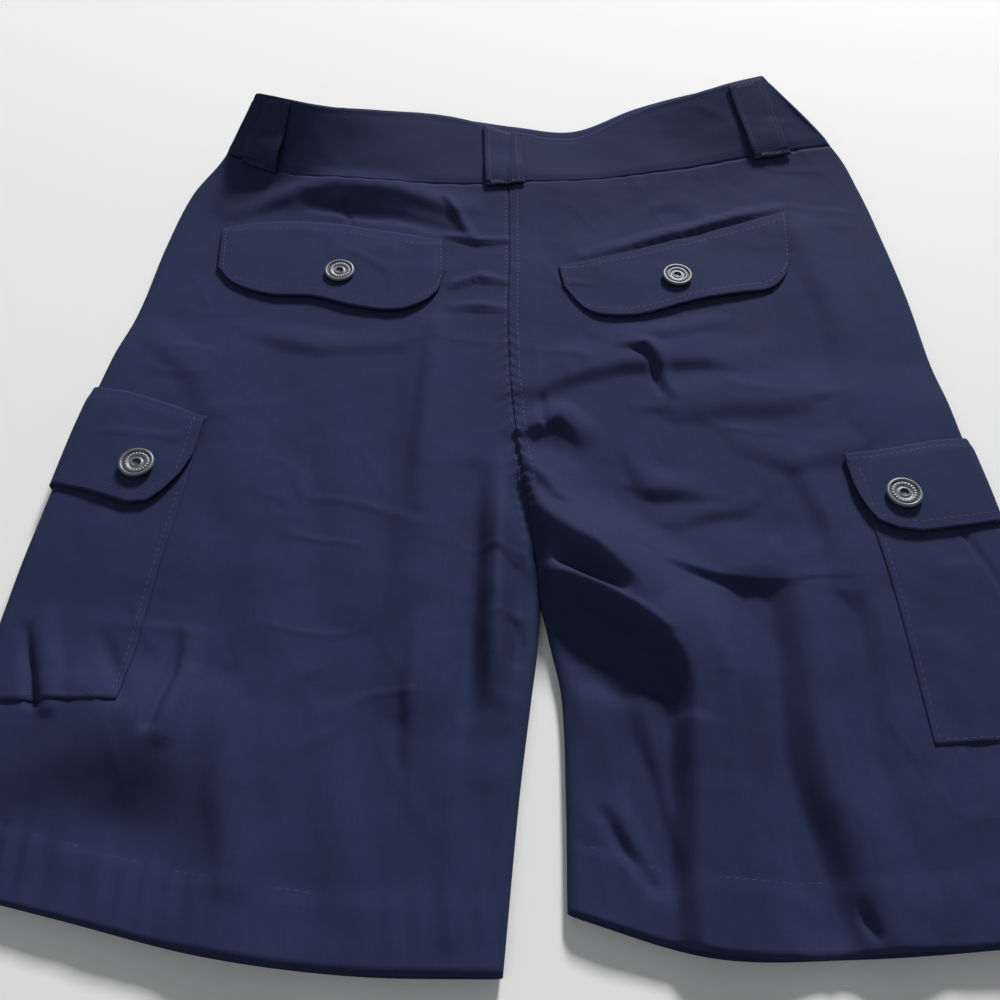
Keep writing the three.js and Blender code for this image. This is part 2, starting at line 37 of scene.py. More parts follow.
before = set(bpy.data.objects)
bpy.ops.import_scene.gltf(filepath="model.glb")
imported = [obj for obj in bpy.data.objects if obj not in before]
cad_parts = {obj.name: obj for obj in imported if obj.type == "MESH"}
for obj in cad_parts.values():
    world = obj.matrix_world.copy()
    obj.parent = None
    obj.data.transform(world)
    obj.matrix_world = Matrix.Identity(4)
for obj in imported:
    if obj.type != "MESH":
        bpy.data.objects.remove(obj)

# Sizes of the cloth, in millimetres, as the solids have them.
SEAM_GAP = 0.3
MIDDLE_GAP = 0.06
FOLD_RADIUS = 3.1
STRIP_SLACK = 3.0
BAND_OUT = 0.6
PATCH_WALL = 1.0
BAND_WALL = 1.8
LOOP_WALL = 1.2
FLAP_WALL = 1.0
POCKET_WALL = 0.8
POCKET_SUNK = 0.5
ARC = np.pi / 2 * FOLD_RADIUS
START = MIDDLE_GAP / 2 / ARC
CENTRE_SHIFT = np.array([-0.25, 10.8, 0.0])
TO_METRES = 0.001

# Rows where the band is sewn, row and depth of the hem, the Y over which the legs part, arc and reach of a
# side pocket's fullest line, strength of the creases, and how far the back may sink.
BAND_SEWN = (0.07, 0.93)
HEM_ROW, HEM_DEEP = 13.0, 24.0
VALLEY = (-62.0, -112.0)
CARGO_CROWN = (26, 20)
CREASE_GAIN, LOWEST = 1.5, -2.6

# The weave: a full turn of its sine bands, and the width of one thread in metres.
FULL_TURN = 6.2832
THREAD = 0.00055

# Stage: half the floor's side and its depth under the part, the camera, and each light's name, place,
# power in watts and size.
FLOOR_HALF, FLOOR_DROP = 4.0, 0.0002
LENS, SENSOR = 34.67, 36.0
CAMERA_PLACE, CAMERA_TILT = (-0.00725, -0.2912, 0.355), 34.5
LIGHTS = (("key", (1.0, 3.33, 1.95), 222, 0.7), ("fill", (-1.2, -1.4, 2.2), 9, 2.0))

MATERIALS, CUTS = {}, {}


def table(*rows, columns=0):
    """Rows of numbers as an array, short ones filled up with zeros to the given number of columns."""
    return np.array([(*row, *(0,) * (columns - len(row))) for row in rows], float)


# Rows of each leg from the waist's top edge through the band's seam to the hem:
# side X and Y, inner X and Y, three dips along Y, and five lifts from the side inward.
ROWS = {
    "right": table(
        (150, 230, -1, 196, -4, -2, -12, 20, 18, 9, 4, 4.5),
        (186, 184, -2, 153, -2, -5, -4, 5, 4, 3.5, 2.5, 2.2),
        (196, 150, -2, 124, 0, 0, 0, 0.5, 0.5, 0.3, 0.2), (200, 112, -2, 92), (203, 65, -3, 50),
        (203.5, 20, -2, 8), (205, -25, 1, -32), (207, -60, 5, -66), (208, -85, 8, -93),
        (209, -106, 9.5, -112), (209.5, -128, 13.5, -134), (210, -152, 17, -156),
        (210, -190, 17, -194, 0, -1), (210, -238, 16, -232, -6.5, -11, -12),
        columns=12,
    ),
    "left": table(
        (-144, 191, -1, 196, -1, 5, 8, 34, 26, 17, 10, 4.5),
        (-164, 173, -2, 153, -12, -13, -7, 8, 6, 5, 3, 2.2),
        (-180, 145, -2, 124, -5, -5, -3, 1.5, 1, 0.5, 0.3), (-187, 105, -2, 92), (-190.5, 62, -3, 50),
        (-196, 22, -2, 8), (-201, -20, 1, -32), (-204, -58, 5, -66), (-206, -84, 8, -93),
        (-208, -108, 9.5, -112), (-209, -132, 8, -134), (-209.5, -156, 5, -156),
        (-210, -192, 0, -194, 0, -1), (-210, -222, -6, -252, -4, -8, -6.5),
        columns=12,
    ),
}
FRONT_BEYOND = {"right": (0, 7, 10, 13, 14), "left": (0, 0, 1, 7, 14)}
PROPS_UNDER = {"left": ((-178, 16), (-84, 20)), "right": ((-192, -16), (-100, -10))}
PROP_HIGH, PROP_FULL, PROP_NONE, PROP_RAMP = 1.5, 143.0, 108.0, 34.0

# Large folds of the back: reach to the left and right of the path, and its points with their heights.
FOLDS = (
    (44, 10, (6, -99, 9), (19, -105, 12), (32, -111, 13.5), (46, -120, 14.5), (58, -131, 14.5),
     (66, -145, 13.5), (67, -160, 12), (65, -183, 10), (64, -203, 8), (61, -240, 5)),
    (34, 9, (5, -48, 4), (12, -71, 8), (23, -85, 9.5), (33, -94, 9),
     (42, -102, 6), (50, -111, 2), (56, -118, 0)),
    (30, 5, (62, -93, 1), (72, -97, 2.8), (86, -100.5, 3.4), (102, -102, 3), (114, -103, 0.8)),
    (21, 15, (115, -92, 2), (118, -122, 6.2), (114, -158, 7.6), (114, -188, 7.6),
     (120, -215, 6.6), (125, -240, 5)),
    (16, 12, (-156, 134, 1), (-129, 141, 2.4), (-100, 144, 3), (-63, 142, 2.8), (-29, 132, 1.4)),
    (10, 10, (-6, -40, 1), (-6, -95, 3.5), (-8, -132, 3.5), (-12, -185, 1.5)),
    (24, 18, (-42, 39, 1.5), (-40, -53, 3.5), (-42, -150, 3)),
    (30, 26, (-92, -60, 1), (-100, -150, 3), (-96, -245, 3)),
)

# Smaller creases and hollows, in the same form. A negative height is a trough.
CREASES = (
    (24, 8, (8, 2, 0.8), (30, 12, 1.9), (52, 18, 2.4), (70, 20, 2.2), (92, 21, 1.8), (112, 17, 0.5)),
    (10, 4, (49, 31, 0.4), (57, 30, 1.6), (64, 28, 2), (68, 24, 1)),
    (4, 3, (58, 27, -0.8), (64, 24, -1.8), (68, 14, -2.2), (70, 0, -1.2)),
    (8, 4, (64, 27, 0.8), (70, 14, 1.8), (73, 0, 1)),
    (14, 4.5, (4, -24, 1.2), (12, -22, 3.4), (20, -17, 3.6), (28, -25, 2), (33, -33, 0.3)),
    (9, 12, (8, -33, -0.8), (16, -34, -1.2), (24, -37, -0.8)),
    (3, 3, (13, -3, -1), (13, -21, -1.4)),
    (12, 7, (52, -36, 0.6), (55, -46, 1.4), (59, -56, 1)),
    (14, 7, (57, -56, 0.8), (68, -57, 1.8), (80, -58, 1.4), (92, -58, 0.4)),
    (12, 6, (70, -74, 0.5), (84, -69, 1.2), (100, -66, 0.6)),
    (26, 12, (77, -10, 1.2), (103, -7, 2), (134, -6, 1.4)),
    (6, 5, (9, -92, -1.6), (19, -98, -2.6), (31, -105, -2.6), (42, -112, -1)),
    (16, 14, (14, -126, -1), (30, -134, -1.8), (48, -146, -1.2)),
    (12, 30, (18, -157, 1), (34, -160, 2), (52, -163, 1.2)),
    (4, 3, (8, -102, 0.6), (19, -106, 1.1), (32, -112, 1.1), (46, -121, 0.9), (58, -131, 0.6)),
    (8, 10, (40, -154, -1.2), (43, -176, -2.8), (46, -195, -3.2), (52, -221, -1.6)),
    (4, 4, (30, -199, -1), (37, -211, -1.8), (46, -224, -1.2)),
    (14, 10, (74, -115, 0.8), (84, -150, 1.6), (82, -189, 1.4), (78, -222, 0.6)),
    (17, 15, (97, -112, -1.6), (95, -150, -2.6), (94, -187, -2.8), (101, -235, -1.6)),
    (14, 8, (127, -47, 0.8), (135, -74, 1.4), (135, -108, 1)),
    (16, 12, (146, -122, 0.8), (141, -180, 1.4), (139, -229, 1.2)),
    (9, 10, (-19, -48, -0.6), (-20, -78, -1.5), (-20, -112, -1.7), (-19, -139, -1.5), (-17, -158, -0.8)),
    (8, 10, (-7, -46, 0.8), (-8, -78, 3.8), (-8, -112, 4.6), (-8, -138, 3.8), (-7, -164, 0.8)),
    (4, 3, (-1, -125, -1), (1, -133, -1.5), (-1, -140, -0.8)),
    (9, 8, (-39, 45, 0.6), (-40, 5, 1.4), (-42, -31, 1.4), (-42, -64, 0.6)),
    (12, 6, (-38, -124, 0.5), (-41, -144, 1.8), (-40, -168, 1.6), (-38, -196, 0.5)),
    (9, 7, (-28, -132, 0.4), (-29, -158, 1.2), (-30, -190, 0.5)),
    (5, 3, (-37, 139, 0.8), (-30, 126, 1.8), (-23, 111, 1)),
    (5, 3, (-35, 111, 0.8), (-19, 106, 1.5), (-4, 107, 0.8)),
    (5, 3, (-32, 72, 0.8), (-18, 78, 1.6), (-5, 75, 0.8)),
    (5, 3, (-32, 56, 0.6), (-17, 57, 1.3), (-5, 55, 0.6)),
    (3, 2.5, (-93, 138, -0.8), (-91, 130, -1.2), (-89, 122, -0.6)),
    (6, 7, (-118, 140, -0.5), (-92, 131, -1), (-62, 126, -1.1), (-33, 115, -0.7)),
    (10, 6, (-150, 127, 0.4), (-125, 140, 0.8), (-99, 148, 0.9), (-62, 144, 0.8), (-32, 130, 0.5)),
    (4, 4, (-197, -126, -0.7), (-191, -141, -2), (-184, -158, -2)),
    (7, 6, (-191, -122, 0.5), (-184, -140, 1.6), (-177, -160, 1.4)),
    (5, 5, (-165, -130, -0.4), (-157, -144, -1.2), (-150, -157, -0.8)),
    (4, 4, (-136, -128, -0.7), (-135, -144, -2), (-137, -168, -1.8)),
    (6, 7, (-130, -128, 0.5), (-128, -146, 1.6), (-131, -172, 1.2)),
    (24, 24, (-164, -176, -1), (-153, -186, -1.7), (-140, -199, -1.7), (-125, -212, -1)),
    (34, 38, (-182, -165, 2.6), (-160, -167, 6), (-136, -171, 5.8), (-112, -178, 1.4)),
    (12, 10, (-114, -156, 0.8), (-107, -191, 1.5), (-99, -222, 1)),
    (12, 12, (-71, -164, 0.6), (-66, -198, 1.2), (-60, -229, 0.8)),
    (9, 9, (-22, -180, 0.6), (-23, -212, 1.2), (-24, -238, 0.8)),
    (24, 18, (-132, -19, 0.6), (-115, -74, 1.4), (-103, -122, 0.8)),
    (18, 14, (-87, -6, 0.5), (-75, -64, 1), (-67, -113, 0.6)),
    (14, 8, (-131, 39, 0.6), (-95, 29, 1.2), (-56, 32, 0.6)),
    (18, 12, (155, 114, 0.8), (164, 46, 1.6), (160, -19, 1)),
    (9, 4, (38, 94, 0.6), (74, 106.5, 2), (98, 115, 2.4), (122, 124, 2.2), (145, 132, 0.8)),
    (9, 6, (43, 38, 0.5), (73, 39, 1.2), (104, 47, 0.5)),
    (14, 10, (146, -90, 0.5), (146, -131, 1.2), (146, -172, 0.6)),
    (3, 3, (116, -232, -1.2), (117, -236, -2.2), (119, -240, -1.2)),
    (6, 5, (-1, -46, -1), (3, -64, -2.2), (5, -79, -2.6), (7, -92, -1.6)),
    (7, 4, (6, -44, 0.8), (13, -54, 1.8), (19, -65, 1.4)),
    (16, 10, (103, -30, 0.6), (124, -42, 1.3), (152, -36, 0.8)),
    (14, 10, (-181, 39, 0.5), (-156, 13, 1.1), (-140, -12, 0.6)),
)

# Flaps over the back pockets: how far the lower edge stands off, the button's X and Y, and columns from
# left to right of top X and Y and bottom X and Y.
BACK_FLAPS = {
    "left": (1.4, (-89.3, 80.6), table(
        (-158, 117, -155, 85), (-150, 119, -145, 73), (-128, 122, -128, 65), (-96, 121, -104, 63),
        (-76, 117, -84, 57), (-60, 113, -63, 53), (-49, 110, -50, 56), (-42, 108.5, -40, 66),
        (-38, 107, -36, 82))),
    "right": (1.1, (85.6, 76.6), table(
        (24, 87, 26, 72), (32, 89, 36, 56), (48, 94, 47, 50), (76, 103, 66, 51), (98, 111, 92, 60),
        (122, 120, 118, 66), (137, 125, 132, 69), (145, 128, 141, 78), (151, 130, 147, 92))),
}

# Pockets and flaps over the side seams: columns of arc round the fold, top Y and bottom Y.
CARGO = {
    "left": {
        "pocket": table((-52, -14, -157), (-30, -12, -157), (0, -10, -157), (30, -14, -158), (60, -18, -159)),
        "flap": table(
            (-53, -3, -52), (-45, -2, -63), (-25, 0, -61), (0, 0, -56), (20, -4, -61.5), (38, -10, -67.5),
            (46, -13, -66.5), (52, -16, -60), (57, -18, -52), (60, -19.5, -41)),
        "lift": 0.9, "button": (37.5, -48),
    },
    "right": {
        "pocket": table((-52, -42, -172), (-30, -40, -172), (0, -38, -172), (30, -44, -173), (57, -49, -174.5)),
        "flap": table(
            (-53, -34, -68), (-45, -33, -79), (-25, -32, -79), (0, -31, -76), (20, -33, -79.5), (38, -37, -82),
            (48, -39, -80.5), (55, -40, -77), (59, -41, -68), (61, -41, -58)),
        "lift": 0.8, "button": (41.4, -64),
    },
}

# Belt loops: X at both ends of the top edge and of the bottom edge, and how far the middle bulges.
LOOPS = {
    "belt_loop_back": (-17, 5, -15, 7, 1.2),
    "belt_loop_right": (127, 147, 139, 160, 1.2),
    "belt_loop_left": (-139, -125, -153, -133, 5.5),
}
LOOP_ROWS = (0.05, 1.07)

# A button's outline as radius and height from its foot's rim over the edge to its hollow, the bands of it
# that are dark, and its beads: how many, and their ring's radius and reach.
BUTTON_OUTLINE = table(
    (2.5, 0), (2.5, 0.9), (7.9, 0.9), (8.3, 1.1), (8.5, 1.45), (8.45, 1.8), (8.2, 2.15), (7.8, 2.4),
    (7.3, 2.45), (6.9, 2.25), (6.7, 1.8), (6.4, 1.65), (6.1, 1.7), (5.9, 1.95), (5.5, 2.1), (4.9, 2.1),
    (4.4, 2.0), (4.1, 1.75), (3.7, 1.5), (3.1, 1.5), (2.8, 1.7), (2.5, 1.9), (2.2, 1.9), (1.9, 1.7),
    (1.7, 1.2), (1.0, 1.0))
BUTTON_DARK = ((10, 12), (22, 26))
BUTTON_SIDES = 96
BEADS, BEAD_RING = 22, (5.2, 0.6)


def smooth(low, high, value):
    """0 below low, 1 above high and a soft S between them."""
    q = np.clip((value - low) / (high - low), 0, 1)
    return q * q * (3 - 2 * q)


def bell(value, middle, reach):
    """1 at the middle, falling off on both sides as exp(-(distance / reach)^2)."""
    return np.exp(-(((value - middle) / reach) ** 2))


def cubic(a, b, c, d, f):
    """Cubic from b to c whose end slopes are half the steps between its neighbours."""
    return b + 0.5 * f * (c - a + f * (2 * a - 5 * b + 4 * c - d + f * (3 * (b - c) + d - a)))


def unit(vectors):
    """The same directions with length 1."""
    return vectors / np.linalg.norm(vectors, axis=-1, keepdims=True)


def curve(values, at):
    """Smooth curve through evenly spaced values, read at many places."""
    values, at = np.asarray(values, float), np.asarray(at, float)
    last = len(values) - 1
    i = np.clip(np.floor(at).astype(int), 0, last - 1)
    b, c = values[i], values[i + 1]
    a = np.where(i > 0, values[np.maximum(i - 1, 0)], 2 * b - c)
    d = np.where(i < last - 1, values[np.minimum(i + 2, last)], 2 * c - b)
    return cubic(a, b, c, d, at - i)


def curve_each(values, at):
    """The same curve where every point has its own values along the first axis."""
    last = len(values) - 1
    i = np.clip(np.floor(at).astype(int), 0, last - 1)
    pick = lambda k: np.take_along_axis(values, np.clip(k, 0, last)[None], 0)[0]
    b, c = pick(i), pick(i + 1)
    a = np.where(i > 0, pick(i - 1), 2 * b - c)
    d = np.where(i < last - 1, pick(i + 2), 2 * c - b)
    return cubic(a, b, c, d, at - i)


def row_at(leg, s):
    """A leg's row at s: its ends, its width, and its dips and lifts at five places across."""
    side_x, side_y, inner_x, inner_y = (curve(ROWS[leg][:, k], s) for k in range(4))
    none = np.zeros_like(side_x)
    dips = np.stack([none, *(curve(ROWS[leg][:, k], s) for k in (4, 5, 6)), none])
    lifts = np.maximum(0, np.stack([curve(ROWS[leg][:, k], s) for k in range(7, 12)]))
    width = np.hypot(inner_x - side_x, inner_y - side_y) - MIDDLE_GAP / 2
    return side_x, side_y, inner_x, inner_y, width, dips, lifts


def edge_x(leg, column, y):
    """X of a leg's side (column 0) or inner edge (column 2) at a plan Y, straight between the rows."""
    rows = ROWS[leg]
    return np.interp(-y, -rows[:, column + 1], rows[:, column])


def eased(folds, parts=3):
    """The same folds with their paths drawn as smooth curves of shorter straight parts."""
    result = []
    for left, right, *path in folds:
        points = np.array(path, float)
        at = np.linspace(0, len(points) - 1, parts * (len(points) - 1) + 1)
        result.append((left, right, *np.stack([curve(points[:, k], at) for k in range(3)], -1)))
    return result


def humps(folds, x, y):
    """Sum of soft humps: each is its path's height times (1 - (distance / reach)^2)^2. The reach differs on the
    path's two sides."""
    total = np.zeros_like(x)
    for left, right, *path in folds:
        points = np.array(path, float)
        wide = max(left, right)
        near = np.nonzero((x > points[:, 0].min() - wide) & (x < points[:, 0].max() + wide)
                          & (y > points[:, 1].min() - wide) & (y < points[:, 1].max() + wide))
        px, py = x[near], y[near]
        best = np.full(px.shape, np.inf)
        turn, high = np.zeros_like(px), np.zeros_like(px)
        for (ax, ay, ah), (bx, by, bh) in zip(points[:-1], points[1:]):
            dx, dy = bx - ax, by - ay
            q = np.clip(((px - ax) * dx + (py - ay) * dy) / (dx * dx + dy * dy), 0, 1)
            ox, oy = px - ax - dx * q, py - ay - dy * q
            away = np.hypot(ox, oy)
            closer = away < best
            best = np.where(closer, away, best)
            turn = np.where(closer, smooth(-2, 2, (dx * oy - dy * ox) / np.hypot(dx, dy)), turn)
            high = np.where(closer, ah + (bh - ah) * q, high)
        fall = np.clip(1 - (best / (right + (left - right) * turn)) ** 2, 0, None)
        total[near] += high * fall * fall
    return total


LATTICE = np.random.default_rng(7).uniform(-1, 1, (64, 64))


def mottle(x, y, cell, turn, stretch=1.0):
    """Smooth uneven field between -1 and 1: chance values on a turned lattice, blended with an S curve."""
    a = (x * np.cos(turn) + y * np.sin(turn)) / cell + 200 * turn
    b = (y * np.cos(turn) - x * np.sin(turn)) / (cell * stretch) + 90 * turn
    i, j = np.floor(a).astype(int), np.floor(b).astype(int)
    f, g = smooth(0, 1, a - i), smooth(0, 1, b - j)
    at = lambda m, n: LATTICE[m % 64, n % 64]
    near, far = (at(i, j + k) * (1 - f) + at(i + 1, j + k) * f for k in (0, 1))
    return near * (1 - g) + far * g


def ripple(x, y):
    """Uneven swell of lying cloth: wide soft fields, longer down the leg than across, with patches of thin
    creases where two turned fields pass through zero."""
    wide = 0.9 * mottle(x, y, 46, 0.3, 1.5) + 0.5 * mottle(x, y, 24, 1.1, 1.4)
    wide = wide + 0.3 * mottle(x, y, 13, 2.0, 1.6)
    patch = smooth(-0.1, 0.6, mottle(x, y, 38, 0.7))
    across = bell(mottle(x, y, 21, 1.45, 2.2), 0, 0.13)
    slant = bell(mottle(x, y, 17, 0.5, 2.0), 0, 0.13)
    return wide + patch * (0.5 * across + 0.4 * slant) + 0.12 * mottle(x, y, 6, 0.9, 1.3)


CROTCH_FOLDS, WIDE_FOLDS = eased(FOLDS[:2], 4), eased(FOLDS[2:])


def hem_y(leg, u):
    """Y of the hem at a fraction u across the leg."""
    last = ROWS[leg][-1]
    return last[1] + (last[3] - last[1]) * u + curve((0, *last[4:7], 0), 4 * u)


def seam_relief(leg, face, x, y, u, s):
    """Raised hem, joined edges down the middle, their stitched-in grooves and the small puckers along them."""
    to_hem = y - hem_y(leg, u)
    hem = 0.4 * (1 - smooth(22.5, 25, to_hem)) - 0.35 * bell(to_hem, HEM_DEEP, 0.9)
    strong = (0.75 if leg == "left" else 0.35) * (0.6 + 0.4 * np.sin(x / 31 + 1))
    pucker = np.sin(2 * np.pi * x / 9.5 + 2.2 * np.sin(x / 17) + 1.1 * np.sin(x / 7.1)) * bell(to_hem, 16, 11)
    if face == "front":
        return hem + 0.2 * pucker
    middle = x - edge_x(leg, 2, y)
    closed = smooth(*VALLEY, y)
    felled = 0.5 * smooth(-0.4, 0.6, middle) * (1 - smooth(13, 17, middle)) - 0.2 * bell(middle, -0.6, 0.8)
    slant = np.sin(2 * np.pi * (y + 0.9 * np.abs(middle)) / 6.4 + 1.2 * np.sin(y / 9))
    gather = 0.5 * slant * bell(middle, 0, 7 if leg == "left" else 4) * smooth(70, 20, y)
    band_pull = 0.16 * np.sin(2 * np.pi * x / 13 + np.sin(x / 11)) * bell(s, 1, 0.28) * (s > 1)
    return hem + strong * pucker + (felled + gather) * (1 - closed) + band_pull


def skin(leg, face, t, s):
    """The garment's outer face. Across a row, t turns through a quarter circle round the side fold (0 to 1),
    crosses the flat (1 to 2), and ends at the middle seam or turns down the leg's inner fold (2 to 3)."""
    t, s = np.broadcast_arrays(np.asarray(t, float), np.asarray(s, float))
    side_x, side_y, inner_x, inner_y, width, dips, lifts = row_at(leg, s)
    turn = np.pi / 2 * smooth(*VALLEY, inner_y)
    shut = np.sin(turn)
    strip = FOLD_RADIUS * shut + STRIP_SLACK
    side_angle = np.pi / 2 * (1 - t)
    inner_angle = turn * (t - 2)
    flat = FOLD_RADIUS + (width - FOLD_RADIUS - strip) * (t - 1)
    last = width - FOLD_RADIUS * (shut - np.sin(inner_angle)) - STRIP_SLACK * (3 - t) * (1 - shut * (t - 2))
    away = np.where(t <= 1, FOLD_RADIUS * (1 - np.sin(side_angle)), np.where(t <= 2, flat, last))
    drop = FOLD_RADIUS * np.where(t <= 1, 1 - np.cos(side_angle), np.where(t <= 2, 0, 1 - np.cos(inner_angle)))
    u = away / (width + MIDDLE_GAP / 2)
    x = side_x + (inner_x - side_x) * u
    y = side_y + (inner_y - side_y) * u + curve_each(dips, 4 * u)
    lift = curve_each(lifts, 4 * u)
    inward = smooth(PROP_NONE, PROP_FULL, np.abs(x))
    for low, high in PROPS_UNDER[leg]:
        under = smooth(low - PROP_RAMP, low, y) * (1 - smooth(high, high + PROP_RAMP, y))
        lift = lift + PROP_HIGH * inward * under
    from_side = np.abs(x - edge_x(leg, 0, y))
    from_inner = np.abs(x - edge_x(leg, 2, y))
    relief = seam_relief(leg, face, x, y, u, s) * smooth(0.5, 6, from_side)
    if face == "front":
        y = y + curve(FRONT_BEYOND[leg], 4 * u) * (1 - smooth(0.8, 3, s))
        return np.stack([x, y, lift + drop - 0.3 * np.minimum(relief, 0)], -1)
    closed = smooth(*VALLEY, y)
    at_side = smooth(2, 24, from_side)
    kept = lambda low, high: 1 - closed * (1 - smooth(low, high, from_inner))
    near_inner = kept(0, 7) if leg == "right" else (1 - closed) * (1 - smooth(2, 24, from_inner))
    large = (humps(CROTCH_FOLDS, x, y) * near_inner + humps(WIDE_FOLDS, x, y) * kept(1, 20)) * at_side
    small = CREASE_GAIN * humps(CREASES, x, y) * smooth(1, 12, from_side) * kept(1, 9)
    swell = ripple(x, y) * at_side * kept(0, 9)
    body = np.maximum(large + small + swell + relief * kept(0, 5), LOWEST)
    return np.stack([x, y, lift + 2 * FOLD_RADIUS + body * smooth(0, 3, from_side) - drop], -1)


def moved(leg, face, t, s, out):
    """The outer face's points carried out along its normal, which comes from small steps across and down."""
    step = 0.004
    t, s = np.broadcast_arrays(np.asarray(t, float), np.asarray(s, float))
    across = skin(leg, face, np.minimum(3, t + step), s) - skin(leg, face, np.maximum(0, t - step), s)
    down = skin(leg, face, t, s + step) - skin(leg, face, t, s - step)
    outward = 1 if (leg == "right") == (face == "back") else -1
    return skin(leg, face, t, s) + unit(np.cross(across, down)) * outward * np.asarray(out, float)[..., None]


def t_across(leg, s, away):
    """t for a distance in from the side along a row."""
    row = row_at(leg, s)
    width = row[4]
    strip = FOLD_RADIUS * np.sin(np.pi / 2 * smooth(*VALLEY, row[3])) + STRIP_SLACK
    flat = 1 + (away - FOLD_RADIUS) / (width - FOLD_RADIUS - strip)
    return np.where(away < width - strip, flat, np.clip(3 - (width - away) / STRIP_SLACK, 2, 3))


def halve(low, high, value, shape):
    """Where a falling function of s crosses zero, found by halving, for many points at once."""
    a, b = np.full(shape, float(low)), np.full(shape, float(high))
    for _ in range(24):
        middle = (a + b) / 2
        over = value(middle) > 0
        a, b = np.where(over, middle, a), np.where(over, b, middle)
    return (a + b) / 2


def on_face(face, x, y, out):
    """Plan points put on the back or front and moved out of it."""
    x, y, out = np.broadcast_arrays(*(np.asarray(v, float) for v in (x, y, out)))
    result = np.zeros(x.shape + (3,))
    for leg, mine in (("right", x > edge_x("right", 2, y)), ("left", x <= edge_x("right", 2, y))):
        if not mine.any():
            continue
        px, py = x[mine], y[mine]

        def above(s):
            side_x, side_y, inner_x, inner_y, _, dips, _ = row_at(leg, s)
            u = np.clip((px - side_x) / (inner_x - side_x), 0, 1)
            return side_y + (inner_y - side_y) * u + curve_each(dips, 4 * u) - py

        s = halve(-0.2, HEM_ROW, above, px.shape)
        side_x, _, inner_x, _, width, _, _ = row_at(leg, s)
        away = (px - side_x) / (inner_x - side_x) * (width + MIDDLE_GAP / 2)
        result[mine] = moved(leg, face, t_across(leg, s, away), s, out[mine])
    return result


def on_side(leg, arc, y, out):
    """Points a given arc round the side fold from its edge, positive on the back, at a plan Y."""
    arc, y, out = np.broadcast_arrays(*(np.asarray(v, float) for v in (arc, y, out)))
    far = np.abs(arc)
    away = FOLD_RADIUS + np.maximum(0, far - ARC)

    def above(s):
        _, side_y, _, inner_y, width, _, _ = row_at(leg, s)
        return side_y + (inner_y - side_y) * away / width - y

    s = halve(1, HEM_ROW, above, arc.shape)
    t = np.where(far < ARC, far / ARC, t_across(leg, s, away))
    return np.where((arc < 0)[..., None], moved(leg, "front", t, s, out), moved(leg, "back", t, s, out))


def edge_columns(flap, p):
    """Top and bottom edge points of a flap at fractions p across it."""
    return [curve(flap[:, k], p * (len(flap) - 1)) for k in range(4)]


def back_flap_point(side, p, q, out):
    """A back flap: straight lines from its top edge (q 0) to its bottom edge (q 1), standing off more there."""
    lift, _, columns = BACK_FLAPS[side]
    top_x, top_y, low_x, low_y = edge_columns(columns, p)
    rise = lift * q * q * np.sin(np.pi * np.clip(p, 0.08, 0.92))
    wave = 0.5 * q * np.sin(9 * p + (1 if side == "left" else 3)) + 0.35 * np.sin(np.pi * q) * np.sin(17 * p)
    sewn = (0.75 if side == "left" else 0.3) * (1 - smooth(0, 0.14, q))
    return on_face("back", top_x + (low_x - top_x) * q, top_y + (low_y - top_y) * q,
                   SEAM_GAP + rise + np.maximum(wave, 0) - sewn + out)


def patch_y(rows, arc, q):
    """Plan Y on a pocket or flap: q runs from its top edge's height at this arc to its bottom edge's."""
    top, low = np.interp(arc, rows[:, 0], rows[:, 1]), np.interp(arc, rows[:, 0], rows[:, 2])
    return top + (low - top) * q


def patch_arc(rows, p):
    """Arc round the side fold at a fraction p across a pocket or flap."""
    return rows[0, 0] + (rows[-1, 0] - rows[0, 0]) * p


def pocket_point(leg, p, q, out):
    """A side pocket: flat on the leg with a slightly puffed middle and small folds near its bottom edge."""
    rows = CARGO[leg]["pocket"]
    arc = patch_arc(rows, p)
    puff = 0.6 * np.sin(np.pi * q) * bell(arc, *CARGO_CROWN)
    if leg == "right":
        pleat = bell(arc, 20 - 38 * (q - 0.3), 1.5) * smooth(0.2, 0.35, q) * (1 - smooth(0.7, 0.85, q))
        puff = puff - 1.2 * pleat
    folds = 0.5 * np.sin(arc / 3.3 + 2.2 * q) * bell(q, 0.92, 0.16) * smooth(6, 14, arc)
    return on_side(leg, arc, patch_y(rows, arc, q), SEAM_GAP + puff + np.maximum(folds, -0.1) + out)


def cargo_flap_point(leg, p, q, out):
    """A side pocket's flap, over the pocket, its lower edge standing off on the side that is up."""
    rows = CARGO[leg]["flap"]
    arc = patch_arc(rows, p)
    rise = CARGO[leg]["lift"] * q * q * smooth(6, 26, arc)
    puff = 0.5 * np.sin(np.pi * np.clip(q * 1.1, 0, 1)) * bell(arc, *CARGO_CROWN)
    puff = puff - 0.8 * (1 - smooth(0, 0.15, q))
    return on_side(leg, arc, patch_y(rows, arc, q), 2 * SEAM_GAP + PATCH_WALL + rise + puff + out)


def loop_base(name, p, q, out):
    """A loop's foot on the cloth: p across it and q down it, on whichever leg's row is under it."""
    top_a, top_b, low_a, low_b, _ = LOOPS[name]
    x = (top_a + (top_b - top_a) * p) * (1 - q) + (low_a + (low_b - low_a) * p) * q
    s = LOOP_ROWS[0] + (LOOP_ROWS[1] - LOOP_ROWS[0]) * q
    result = np.zeros(x.shape + (3,))
    right = x > curve(ROWS["right"][:, 2], s)
    for leg, mine in (("right", right), ("left", ~right)):
        if mine.any():
            side_x, _, inner_x, _, width, _, _ = row_at(leg, s[mine])
            away = (x[mine] - side_x) / (inner_x - side_x) * (width + MIDDLE_GAP / 2)
            result[mine] = moved(leg, "back", t_across(leg, s[mine], away), s[mine], out)
    return result


